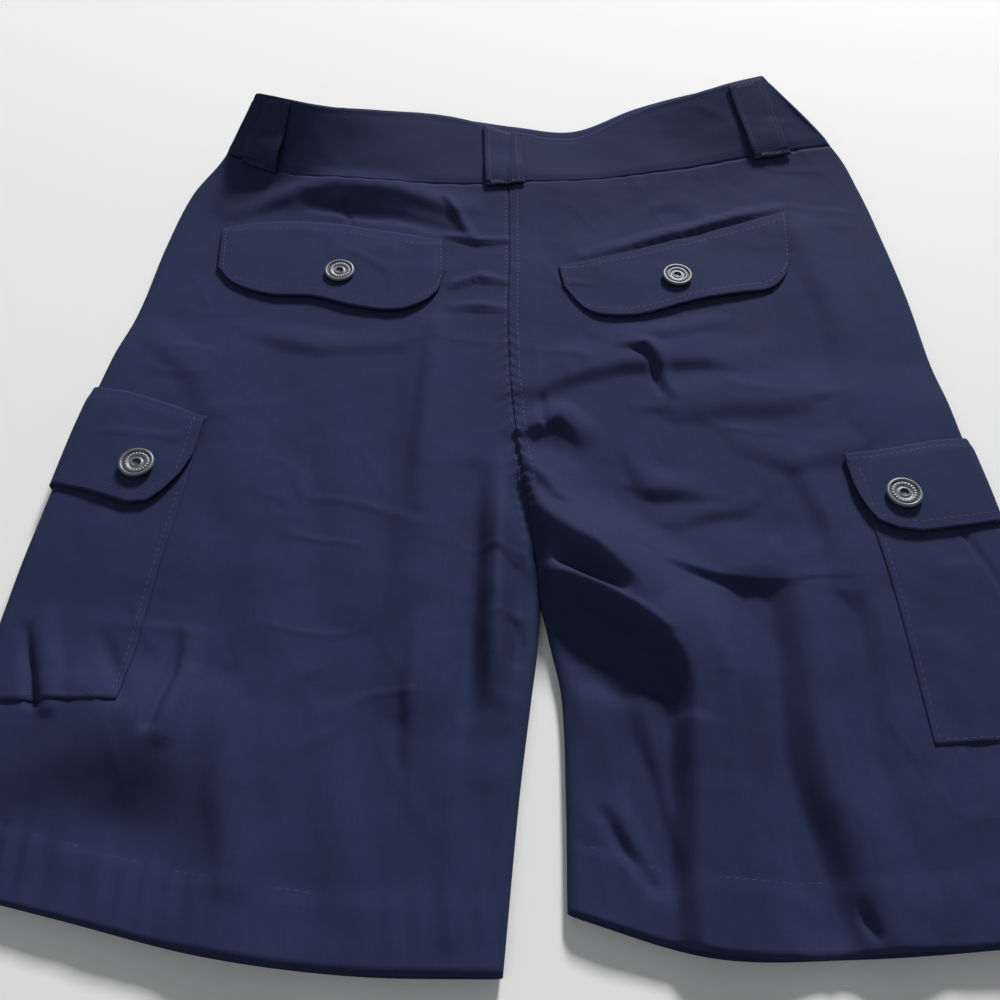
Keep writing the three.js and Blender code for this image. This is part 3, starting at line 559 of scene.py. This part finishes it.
def loop_point(name, p, q, out):
    """A belt loop arching off the band between its sewn ends, along directions blended from its two edges."""
    p, q = np.broadcast_arrays(np.asarray(p, float), np.asarray(q, float))
    bulge = LOOPS[name][4]
    arch = np.sin(np.pi * q**2.2) ** 1.4 * (0.72 + 0.28 * np.sin(np.pi * p))
    rise = BAND_OUT + SEAM_GAP + bulge * arch + out
    ends = (np.full(p.shape, fraction) for fraction in (0.06, 0.94))
    first, last = (loop_base(name, end, q, 1.0) - loop_base(name, end, q, 0.0) for end in ends)
    up = unit(first + (last - first) * p[..., None])
    return loop_base(name, p, q, 0.0) + up * rise[..., None]


def band_point(around, s, out):
    """The waistband: around runs from 0 to 12, from the front's middle over the right side, the back and the
    left side to the front again."""
    result = np.zeros(np.broadcast(around, s).shape + (3,))
    around, s = np.broadcast_arrays(around, s)
    wrinkle = 0.35 * np.sin(around * 23) * bell(s, 0.55, 0.3) * np.sin(around * 5.1)
    groove = 0.25 * (bell(s, BAND_SEWN[0], 0.02) + bell(s, BAND_SEWN[1], 0.02))
    out = np.broadcast_to(out, around.shape) + BAND_OUT + wrinkle - groove - 0.6 * smooth(0.88, 1, s)
    quarters = ("right", "front"), ("right", "back"), ("left", "back"), ("left", "front")
    for first, (leg, face) in zip((0, 3, 6, 9), quarters):
        mine = (around >= first) & ((around < first + 3) | (first == 9))
        if mine.any():
            t = around[mine] - first
            result[mine] = moved(leg, face, 3 - t if first in (0, 6) else t, s[mine], out[mine])
    return result


def to_metres(points):
    """Millimetres of the tables, moved to the frame's middle, in metres."""
    return (points + CENTRE_SHIFT) * TO_METRES


def put_in(name, data):
    """A new object with this data in the scene."""
    made = bpy.data.objects.new(name, data)
    bpy.context.scene.collection.objects.link(made)
    return made


def finish_mesh(name, points, blocks, material, uv=None):
    """A new mesh object of points and blocks of faces, smooth shaded, at the origin and riding on the frame."""
    mesh = bpy.data.meshes.new(name)
    faces = [face for block in blocks for face in block.tolist()]
    mesh.from_pydata(points.reshape(-1, 3).tolist(), [], faces)
    mesh.polygons.foreach_set("use_smooth", np.ones(len(mesh.polygons), bool))
    if uv is not None:
        corner = np.zeros(len(mesh.loops), int)
        mesh.loops.foreach_get("vertex_index", corner)
        at_corners = uv.reshape(-1, 2)[corner].ravel().astype(np.float32)
        mesh.uv_layers.new(name="cloth").data.foreach_set("uv", at_corners)
    mesh.update()
    mesh.materials.append(material)
    piece = put_in(name, mesh)
    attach(piece, "root")
    return piece


def lengths(points, axis):
    """Distance run along one axis of a grid of points, from its first line."""
    steps = np.linalg.norm(np.diff(points, axis=axis), axis=-1)
    pad = [(0, 0), (0, 0)]
    pad[axis] = (1, 0)
    return np.pad(np.cumsum(steps, axis), pad)


def cloth_sheet(name, point, a, b, thick, node):
    """A cloth sheet on a grid of two parameters, with a wall inward of its outer face."""
    grid_a, grid_b = np.meshgrid(a, b)
    outer = to_metres(point(grid_a, grid_b, thick))
    lower = to_metres(point(grid_a, grid_b, 0.0))
    count = grid_a.size
    i = np.arange(count).reshape(grid_a.shape)
    face = np.stack([i[:-1, :-1], i[1:, :-1], i[1:, 1:], i[:-1, 1:]], -1).reshape(-1, 4)
    border = np.concatenate([i[:-1, 0], i[-1, :-1], i[:0:-1, -1], i[0, :0:-1]])
    ahead = np.roll(border, -1)
    rim = np.stack([ahead, border, border + count, ahead + count], -1)
    blocks = [face, face[:, ::-1] + count, rim]
    normal = np.cross(np.gradient(outer, axis=0), np.gradient(outer, axis=1))
    if np.sum(normal * (outer - lower)) < 0:
        blocks = [block[:, ::-1] for block in blocks]
    uv = np.stack([lengths(outer, 1), lengths(outer, 0)], -1)
    piece = finish_mesh(name, np.stack([outer, lower]), blocks, MATERIALS["navy cloth"], np.stack([uv, uv]))
    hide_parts(node)
    quads = outer[:-1, :-1], outer[1:, :-1], outer[1:, 1:], outer[:-1, 1:]
    area = float(np.sum(np.linalg.norm(np.cross(quads[2] - quads[0], quads[3] - quads[1]), axis=-1)) / 2)
    width, length = float(lengths(outer, 1)[:, -1].max()), float(lengths(outer, 0)[-1].max())
    CUTS[name] = [round(width, 3), round(length, 3), round(area, 4)]


def new_material(name, **values):
    """A material with numbers and colours on its shader's own sockets. Gives its nodes, the function that links
    them, and the shader."""
    made = MATERIALS[name] = bpy.data.materials.new(name)
    made.use_nodes = True
    nodes = made.node_tree.nodes
    shader = nodes["Principled BSDF"]
    for socket, value in values.items():
        shader.inputs[socket.replace("_", " ")].default_value = value
    return nodes, made.node_tree.links.new, shader


def weave_group():
    """Plain weave: threads as two crossed sine bands, long thin noise for slubs, and soft wide clouding."""
    group = bpy.data.node_groups.new("plain weave", "ShaderNodeTree")
    sockets = (("Vector", "Vector", None), ("Colour", "Color", (0.03, 0.035, 0.1, 1)),
               ("Thread", "Float", THREAD), ("Slub", "Float", 0.25))
    for name, kind, default in sockets:
        socket = group.interface.new_socket(name=name, in_out="INPUT", socket_type=f"NodeSocket{kind}")
        if default is not None:
            socket.default_value = default
    for name, kind in (("Colour", "Color"), ("Roughness", "Float"), ("Height", "Float")):
        group.interface.new_socket(name=name, in_out="OUTPUT", socket_type=f"NodeSocket{kind}")
    nodes, join = group.nodes, group.links.new
    given, made = nodes.new("NodeGroupInput"), nodes.new("NodeGroupOutput")

    def noise(scale, detail, stretch):
        spread = nodes.new("ShaderNodeVectorMath")
        spread.operation = "MULTIPLY"
        spread.inputs[1].default_value = stretch
        join(given.outputs["Vector"], spread.inputs[0])
        node = nodes.new("ShaderNodeTexNoise")
        node.inputs["Scale"].default_value = scale
        node.inputs["Detail"].default_value = detail
        join(spread.outputs[0], node.inputs["Vector"])
        return node.outputs["Fac"]

    def maths(operation, a, b=None):
        node = nodes.new("ShaderNodeMath")
        node.operation = operation
        for socket, value in zip(node.inputs, (a, b)):
            if value is None:
                continue
            if isinstance(value, (int, float)):
                socket.default_value = value
            else:
                join(value, socket)
        return node.outputs[0]

    warp = noise(1100, 2, (1, 0.035, 1))
    weft = noise(1000, 2, (0.04, 1, 1))
    clouding = noise(28, 3, (1, 1, 1))
    slub = maths("ADD", maths("MULTIPLY", warp, 0.55), maths("MULTIPLY", weft, 0.45))
    uneven = maths("MULTIPLY", maths("SUBTRACT", slub, 0.5), 1.3)
    vary = maths("ADD", uneven, maths("MULTIPLY", maths("SUBTRACT", clouding, 0.5), 0.5))
    bright = maths("ADD", 1.0, maths("MULTIPLY", vary, given.outputs["Slub"]))
    tint = nodes.new("ShaderNodeVectorMath")
    tint.operation = "SCALE"
    join(given.outputs["Colour"], tint.inputs[0])
    join(bright, tint.inputs["Scale"])
    join(tint.outputs[0], made.inputs["Colour"])
    join(maths("ADD", 0.72, maths("MULTIPLY", clouding, 0.16)), made.inputs["Roughness"])
    split = nodes.new("ShaderNodeSeparateXYZ")
    join(given.outputs["Vector"], split.inputs[0])
    thread = maths("DIVIDE", FULL_TURN, given.outputs["Thread"])
    over = maths("SINE", maths("MULTIPLY", split.outputs[0], thread))
    along = maths("SINE", maths("MULTIPLY", split.outputs[1], thread))
    crossed = maths("MULTIPLY", maths("MULTIPLY", over, along), 0.25)
    join(maths("ADD", crossed, slub), made.inputs["Height"])
    return group


def cloth_material(name, colour, coordinates, slub, weave):
    """Cloth: the weave's colour and roughness, its height as a fine bump, and a soft sheen."""
    nodes, join, shader = new_material(name, Sheen_Weight=0.01, Sheen_Roughness=0.45, Specular_IOR_Level=0.04)
    place = nodes.new("ShaderNodeTexCoord")
    threads = nodes.new("ShaderNodeGroup")
    threads.node_tree = weave
    threads.inputs["Colour"].default_value = (*colour, 1)
    threads.inputs["Slub"].default_value = slub
    join(place.outputs[coordinates], threads.inputs["Vector"])
    bump = nodes.new("ShaderNodeBump")
    bump.inputs["Strength"].default_value = 0.35
    bump.inputs["Distance"].default_value = 0.00012
    join(threads.outputs["Height"], bump.inputs["Height"])
    join(threads.outputs["Colour"], shader.inputs["Base Color"])
    join(threads.outputs["Roughness"], shader.inputs["Roughness"])
    join(bump.outputs["Normal"], shader.inputs["Normal"])


def metal_material(name, colour, dark):
    """Aged metal, darker where a noise of fine spots settles."""
    nodes, join, shader = new_material(name, Metallic=0.4, Roughness=0.48)
    place = nodes.new("ShaderNodeTexCoord")
    spots = nodes.new("ShaderNodeTexNoise")
    spots.inputs["Scale"].default_value = 900
    spots.inputs["Detail"].default_value = 4
    join(place.outputs["Object"], spots.inputs["Vector"])
    mix = nodes.new("ShaderNodeMix")
    mix.data_type = "RGBA"
    mix.inputs[6].default_value = (*colour, 1)
    mix.inputs[7].default_value = (*dark, 1)
    join(spots.outputs["Fac"], mix.inputs[0])
    join(mix.outputs[2], shader.inputs["Base Color"])


def stitches(name, lines, long=2.4, gap=0.8, thick=0.36):
    """Rows of stitches: each is a small spindle laid along a path, its ends sunk into the cloth."""
    ring = np.arange(6) * np.pi / 3
    shape = [(-0.5, 0.1), (-0.3, 0.9), (0.3, 0.9), (0.5, 0.1)]
    template = np.array([(x, r * np.cos(a), r * np.sin(a)) for x, r in shape for a in ring])
    k = np.arange(6)
    here, beyond = np.arange(3)[:, None] * 6 + k, np.arange(3)[:, None] * 6 + (k + 1) % 6
    quads = np.stack([here, beyond, beyond + 6, here + 6], -1).reshape(-1, 4)
    ends = np.stack([k[::-1], k + 18])
    points, faces, count = [], [], 0
    for place, lifted in lines:
        run = np.concatenate([[0], np.cumsum(np.linalg.norm(np.diff(place, axis=0), axis=-1))])
        centre = np.arange(long / 2, run[-1] - long / 2, long + gap)
        if not len(centre):
            continue
        read = lambda at, from_points: np.stack([np.interp(at, run, from_points[:, i]) for i in range(3)], -1)
        middle = read(centre, place)
        ahead = unit(read(centre + long / 2, place) - read(centre - long / 2, place))
        up = read(centre, lifted) - middle
        up = unit(up - ahead * np.sum(up * ahead, -1, keepdims=True))
        beside = np.cross(up, ahead)
        sink = np.abs(template[:, 0])[None, :, None] * -0.25
        spot = (middle[:, None] + ahead[:, None] * (template[:, 0] * long)[None, :, None]
                + beside[:, None] * (template[:, 1] * thick / 2)[None, :, None]
                + up[:, None] * ((template[:, 2] * thick / 2)[None, :, None] + sink + 0.02))
        points.append(spot.reshape(-1, 3))
        start = (count + np.arange(len(centre)) * len(template))[:, None, None]
        faces += [(quads + start).reshape(-1, 4), (ends + start).reshape(-1, 6)]
        count += len(centre) * len(template)
    piece = finish_mesh(name, to_metres(np.concatenate(points)), faces, MATERIALS["navy thread"])


def line_on(point, a, b):
    """A path on a sheet and the same path a little further out, for stitches to follow."""
    a, b = np.broadcast_arrays(a, b)
    return point(a, b, 0.0), point(a, b, 1.0)


def button_up(point, p, q, out):
    """Foot and upward direction of a button on a flap, from small steps across and down the flap."""
    at = lambda dp, dq: point(np.array([p + dp]), np.array([q + dq]), out)[0]
    across, down = at(0.01, 0.0) - at(-0.01, 0.0), at(0.0, 0.01) - at(0.0, -0.01)
    up = unit(np.cross(across, down))
    return at(0.0, 0.0), up if up[2] > 0 else -up


class ShortsSettings(bpy.types.PropertyGroup):
    cloth: bpy.props.FloatVectorProperty(
        name="Cloth colour", description="Colour of the navy cloth",
        subtype="COLOR", size=3, min=0, max=1, default=(0.0225, 0.0295, 0.073))
    thread: bpy.props.FloatVectorProperty(
        name="Thread colour", description="Colour of the stitching",
        subtype="COLOR", size=3, min=0, max=1, default=(0.023, 0.03, 0.074))
    metal: bpy.props.FloatVectorProperty(
        name="Metal colour", description="Colour of the buttons",
        subtype="COLOR", size=3, min=0, max=1, default=(0.23, 0.235, 0.26))
    wall: bpy.props.FloatProperty(
        name="Cloth wall", description="Thickness of the panels with their turned edges",
        default=0.0009, min=0.0005, max=0.0012, unit="LENGTH")
    slub: bpy.props.FloatProperty(
        name="Slub", description="How uneven the threads' colour is",
        default=0.3, min=0, max=1, subtype="FACTOR")
    button_radius: bpy.props.FloatProperty(
        name="Button radius", description="Radius of the metal buttons",
        default=0.00775, min=0.006, max=0.011, unit="LENGTH")
    floor: bpy.props.FloatVectorProperty(
        name="Floor colour", description="Colour of the surface under the shorts",
        subtype="COLOR", size=3, min=0, max=1, default=(0.8, 0.8, 0.79))


def settings():
    return bpy.context.scene.shorts


class SHORTS_OT_finishes(bpy.types.Operator):
    """Make the cloth, thread and metal finishes"""

    bl_idname = "shorts.finishes"
    bl_label = "Make finishes"

    def execute(self, context):
        chosen = settings()
        weave = weave_group()
        cloth_material("navy cloth", chosen.cloth, "UV", chosen.slub, weave)
        cloth_material("navy cloth hidden", chosen.cloth, "Object", chosen.slub, weave)
        new_material("navy thread", Base_Color=(*chosen.thread, 1), Roughness=0.6)
        metal_material("button metal", chosen.metal, (0.07, 0.07, 0.085))
        new_material("button hollow", Base_Color=(0.012, 0.013, 0.017, 1), Roughness=0.55)
        new_material("pale floor", Base_Color=(*chosen.floor, 1), Roughness=0.9)
        return {"FINISHED"}


class SHORTS_OT_panels(bpy.types.Operator):
    """Build the back and front panels of both legs"""

    bl_idname = "shorts.panels"
    bl_label = "Build leg panels"

    def execute(self, context):
        wall = settings().wall / TO_METRES
        for leg, face, flat, rows in (("right", "back", 128, 250), ("right", "front", 50, 110),
                                      ("left", "back", 112, 230), ("left", "front", 50, 110)):
            side, inner = np.linspace(START, 1, 6)[:-1], np.linspace(2, 3 - START, 7)
            across = np.concatenate([side, np.linspace(1, 2, flat)[:-1], inner])
            cloth_sheet(
                f"cloth_{face}_{leg}", lambda t, s, out: moved(leg, face, t, s, out - wall), across,
                np.linspace(1.005, HEM_ROW, rows), wall, f"{face}_{leg}")
        return {"FINISHED"}


class SHORTS_OT_waistband(bpy.types.Operator):
    """Build the waistband"""

    bl_idname = "shorts.waistband"
    bl_label = "Build waistband"

    def execute(self, context):
        cloth_sheet(
            "cloth_waistband", lambda around, s, out: band_point(around, s, out - BAND_WALL),
            np.linspace(START, 12 - START, 520), np.linspace(0.0, 0.994, 26), BAND_WALL, "waistband")
        return {"FINISHED"}


class SHORTS_OT_loops(bpy.types.Operator):
    """Build the belt loops that show"""

    bl_idname = "shorts.loops"
    bl_label = "Build belt loops"

    def execute(self, context):
        for name in LOOPS:
            cloth_sheet(
                f"cloth_{name}", partial(loop_point, name), np.linspace(0, 1, 18), np.linspace(0, 1, 44),
                LOOP_WALL, name)
        return {"FINISHED"}


class SHORTS_OT_seat_flaps(bpy.types.Operator):
    """Build the flaps over the back pockets"""

    bl_idname = "shorts.seat_flaps"
    bl_label = "Build back flaps"

    def execute(self, context):
        for side in BACK_FLAPS:
            cloth_sheet(
                f"cloth_back_flap_{side}", partial(back_flap_point, side), np.linspace(0, 1, 90),
                np.linspace(0, 1, 40), FLAP_WALL, f"back_flap_{side}")
        return {"FINISHED"}


class SHORTS_OT_side_pockets(bpy.types.Operator):
    """Build the pockets over the side seams and their flaps"""

    bl_idname = "shorts.side_pockets"
    bl_label = "Build side pockets"

    def execute(self, context):
        for side in CARGO:
            cloth_sheet(
                f"cloth_pocket_{side}", lambda p, q, out: pocket_point(side, p, q, out - POCKET_SUNK),
                np.linspace(0, 1, 70), np.linspace(0, 1, 80), POCKET_WALL, f"cargo_pocket_{side}")
            cloth_sheet(
                f"cloth_pocket_flap_{side}", partial(cargo_flap_point, side), np.linspace(0, 1, 80),
                np.linspace(0, 1, 40), PATCH_WALL, f"cargo_flap_{side}")
        return {"FINISHED"}


class SHORTS_OT_buttons(bpy.types.Operator):
    """Build the metal buttons"""

    bl_idname = "shorts.buttons"
    bl_label = "Build buttons"

    def execute(self, context):
        for side in BACK_FLAPS:
            _, (x, y), columns = BACK_FLAPS[side]
            fractions = np.linspace(0, 1, 400)
            top_x, top_y, low_x, low_y = edge_columns(columns, fractions)
            p = np.interp(x, (top_x + low_x) / 2, fractions)
            top, low = np.interp(p, fractions, top_y), np.interp(p, fractions, low_y)
            q = (y - top) / (low - top)
            self.button(f"button_back_{side}", partial(back_flap_point, side), p, q, FLAP_WALL)
            rows = CARGO[side]["flap"]
            arc, y = CARGO[side]["button"]
            p = (arc - rows[0, 0]) / (rows[-1, 0] - rows[0, 0])
            top, low = np.interp(arc, rows[:, 0], rows[:, 1]), np.interp(arc, rows[:, 0], rows[:, 2])
            q = (y - top) / (low - top)
            self.button(f"button_cargo_{side}", partial(cargo_flap_point, side), p, q, PATCH_WALL)
        return {"FINISHED"}

    def button(self, node, point, p, q, wall):
        """A turned disc: its outline is carried round, and a ring of small beads rides on it."""
        size = settings().button_radius / TO_METRES / BUTTON_OUTLINE[:, 0].max()
        outline = BUTTON_OUTLINE * (size, 1)
        angle = np.arange(BUTTON_SIDES) * 2 * np.pi / BUTTON_SIDES
        r, a = np.meshgrid(outline[:, 0], angle, indexing="ij")
        h = np.repeat(outline[:, 1:2], BUTTON_SIDES, 1)
        h = h + 0.22 * np.sin(BEADS * a) * bell(r / size, *BEAD_RING) * (h > 1.4)
        foot, up = button_up(point, p, q, wall + SEAM_GAP)
        east = unit(np.cross((0, 1, 0), up))
        north = np.cross(up, east)
        flat = (r * np.cos(a))[..., None] * east + (r * np.sin(a))[..., None] * north
        place = foot + flat + h[..., None] * up
        i = np.arange(r.size).reshape(r.shape)
        j = np.roll(i, -1, 1)
        faces = np.stack([i[:-1], j[:-1], j[1:], i[1:]], -1).reshape(-1, 4)
        blocks = [faces, i[:1, ::-1], i[-1:]]
        piece = finish_mesh(f"metal_{node}", to_metres(place), blocks, MATERIALS["button metal"])
        piece.data.materials.append(MATERIALS["button hollow"])
        deep = np.zeros(len(piece.data.polygons), np.int32)
        for first, last in BUTTON_DARK:
            deep[first * BUTTON_SIDES:last * BUTTON_SIDES] = 1
        deep[-1] = 1
        piece.data.polygons.foreach_set("material_index", deep)
        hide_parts(node)


class SHORTS_OT_stitching(bpy.types.Operator):
    """Sew the rows of stitches along seams, hems and edges"""

    bl_idname = "shorts.stitching"
    bl_label = "Sew stitches"

    def execute(self, context):
        on_back = partial(on_face, "back")
        down = np.linspace(148, -58, 260)
        lines = [line_on(on_back, edge_x("left", 2, down) - 1.6, down),
                 line_on(on_back, edge_x("right", 2, down) + 4.6, down)]
        for leg in ROWS:
            last = ROWS[leg][-1]
            u = np.linspace(0.03, 0.97, 240)
            lines.append(line_on(on_back, last[0] + (last[2] - last[0]) * u, hem_y(leg, u) + HEM_DEEP))
        stitches("stitches_legs", lines)
        along = np.linspace(3.3, 8.7, 500)
        stitches("stitches_waistband", [line_on(band_point, along, s) for s in BAND_SEWN])
        lines = []
        for side in BACK_FLAPS:
            flap = lambda p, q, out: back_flap_point(side, p, q, out + FLAP_WALL)
            p, q = np.linspace(0.045, 0.955, 120), np.linspace(0.03, 0.9, 40)
            lines += [line_on(flap, 0.045, q), line_on(flap, p, 0.9), line_on(flap, 0.955, q)]
            lines.append(line_on(flap, np.linspace(0.02, 0.98, 120), 0.12))
        stitches("stitches_back_flaps", lines)
        lines = []
        for side in CARGO:
            flap = lambda p, q, out: cargo_flap_point(side, p, q, out + PATCH_WALL)
            pocket = lambda p, q, out: pocket_point(side, p, q, out - POCKET_SUNK + POCKET_WALL)
            p, q = np.linspace(0.5, 0.955, 90), np.linspace(0.05, 0.9, 50)
            lines += [line_on(flap, p, 0.9), line_on(flap, 0.955, q), line_on(flap, p, 0.08)]
            p, q = np.linspace(0.5, 0.975, 90), np.linspace(0.3, 0.985, 90)
            lines += [line_on(pocket, p, 0.985), line_on(pocket, 0.975, q)]
        stitches("stitches_side_pockets", lines)
        lines = []
        for name in LOOPS:
            loop = lambda p, q, out: loop_point(name, p, q, out + LOOP_WALL)
            q = np.linspace(0.03, 0.97, 60)
            lines += [line_on(loop, 0.14, q), line_on(loop, 0.86, q)]
            for q in (0.04, 0.955):
                lines += [line_on(loop, np.linspace(0.2, 0.8, 30), q + shift) for shift in (-0.012, 0, 0.012)]
        stitches("stitches_loops", lines, long=1.8, gap=0.2)
        return {"FINISHED"}


class SHORTS_OT_hidden(bpy.types.Operator):
    """Finish the solids that stay as they are: the fly's strip and the front belt loops"""

    bl_idname = "shorts.hidden"
    bl_label = "Finish hidden pieces"

    def execute(self, context):
        for node in ("fly_strip", "belt_loop_front_right", "belt_loop_front_left"):
            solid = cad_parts[node]
            solid.data.materials.clear()
            solid.data.materials.append(MATERIALS["navy cloth hidden"])
        return {"FINISHED"}


class SHORTS_OT_stage(bpy.types.Operator):
    """Add the floor, the lights and the camera"""

    bl_idname = "shorts.stage"
    bl_label = "Set the stage"

    def execute(self, context):
        scene = bpy.context.scene
        signs = ((-1, -1), (1, -1), (1, 1), (-1, 1))
        corners = [(x * FLOOR_HALF, y * FLOOR_HALF, -FLOOR_DROP) for x, y in signs]
        mesh = bpy.data.meshes.new("floor")
        mesh.from_pydata(corners, [], [(0, 1, 2, 3)])
        mesh.materials.append(MATERIALS["pale floor"])
        put_in("floor", mesh)
        for name, place, energy, size in LIGHTS:
            light = bpy.data.lights.new(name, "AREA")
            light.energy, light.size = energy, size
            lamp = put_in(name, light)
            lamp.location = place
            lamp.rotation_euler = (-Vector(place)).to_track_quat("-Z", "Y").to_euler()
        world = bpy.data.worlds.new("soft light")
        world.use_nodes = True
        sky = world.node_tree.nodes["Background"].inputs
        sky["Color"].default_value = (0.95, 0.97, 1.0, 1)
        sky["Strength"].default_value = 0.2
        scene.world = world
        scene.view_settings.view_transform = "Standard"
        camera = bpy.data.cameras.new("camera")
        camera.lens, camera.sensor_width = LENS, SENSOR
        eye = put_in("camera", camera)
        eye.location = CAMERA_PLACE
        eye.rotation_euler = (np.radians(CAMERA_TILT), 0, 0)
        scene.camera = eye
        return {"FINISHED"}


class SHORTS_PT_panel(bpy.types.Panel):
    bl_label = "Cargo shorts"
    bl_idname = "SHORTS_PT_panel"
    bl_space_type = "VIEW_3D"
    bl_region_type = "UI"
    bl_category = "Shorts"

    def draw(self, context):
        for name in ShortsSettings.__annotations__:
            self.layout.prop(context.scene.shorts, name)
        for step in STEPS:
            self.layout.operator(step.bl_idname)


STEPS = (SHORTS_OT_finishes, SHORTS_OT_panels, SHORTS_OT_waistband, SHORTS_OT_loops, SHORTS_OT_seat_flaps,
         SHORTS_OT_side_pockets, SHORTS_OT_buttons, SHORTS_OT_stitching, SHORTS_OT_hidden, SHORTS_OT_stage)
CLASSES = (ShortsSettings, *STEPS, SHORTS_PT_panel)


def register():
    for kind in CLASSES:
        bpy.utils.register_class(kind)
    bpy.types.Scene.shorts = bpy.props.PointerProperty(type=ShortsSettings)


def unregister():
    del bpy.types.Scene.shorts
    for kind in reversed(CLASSES):
        bpy.utils.unregister_class(kind)


def main():
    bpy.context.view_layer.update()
    register()
    for step in STEPS:
        group, name = step.bl_idname.split(".")
        getattr(getattr(bpy.ops, group), name)()


if __name__ == "__main__":
    main()
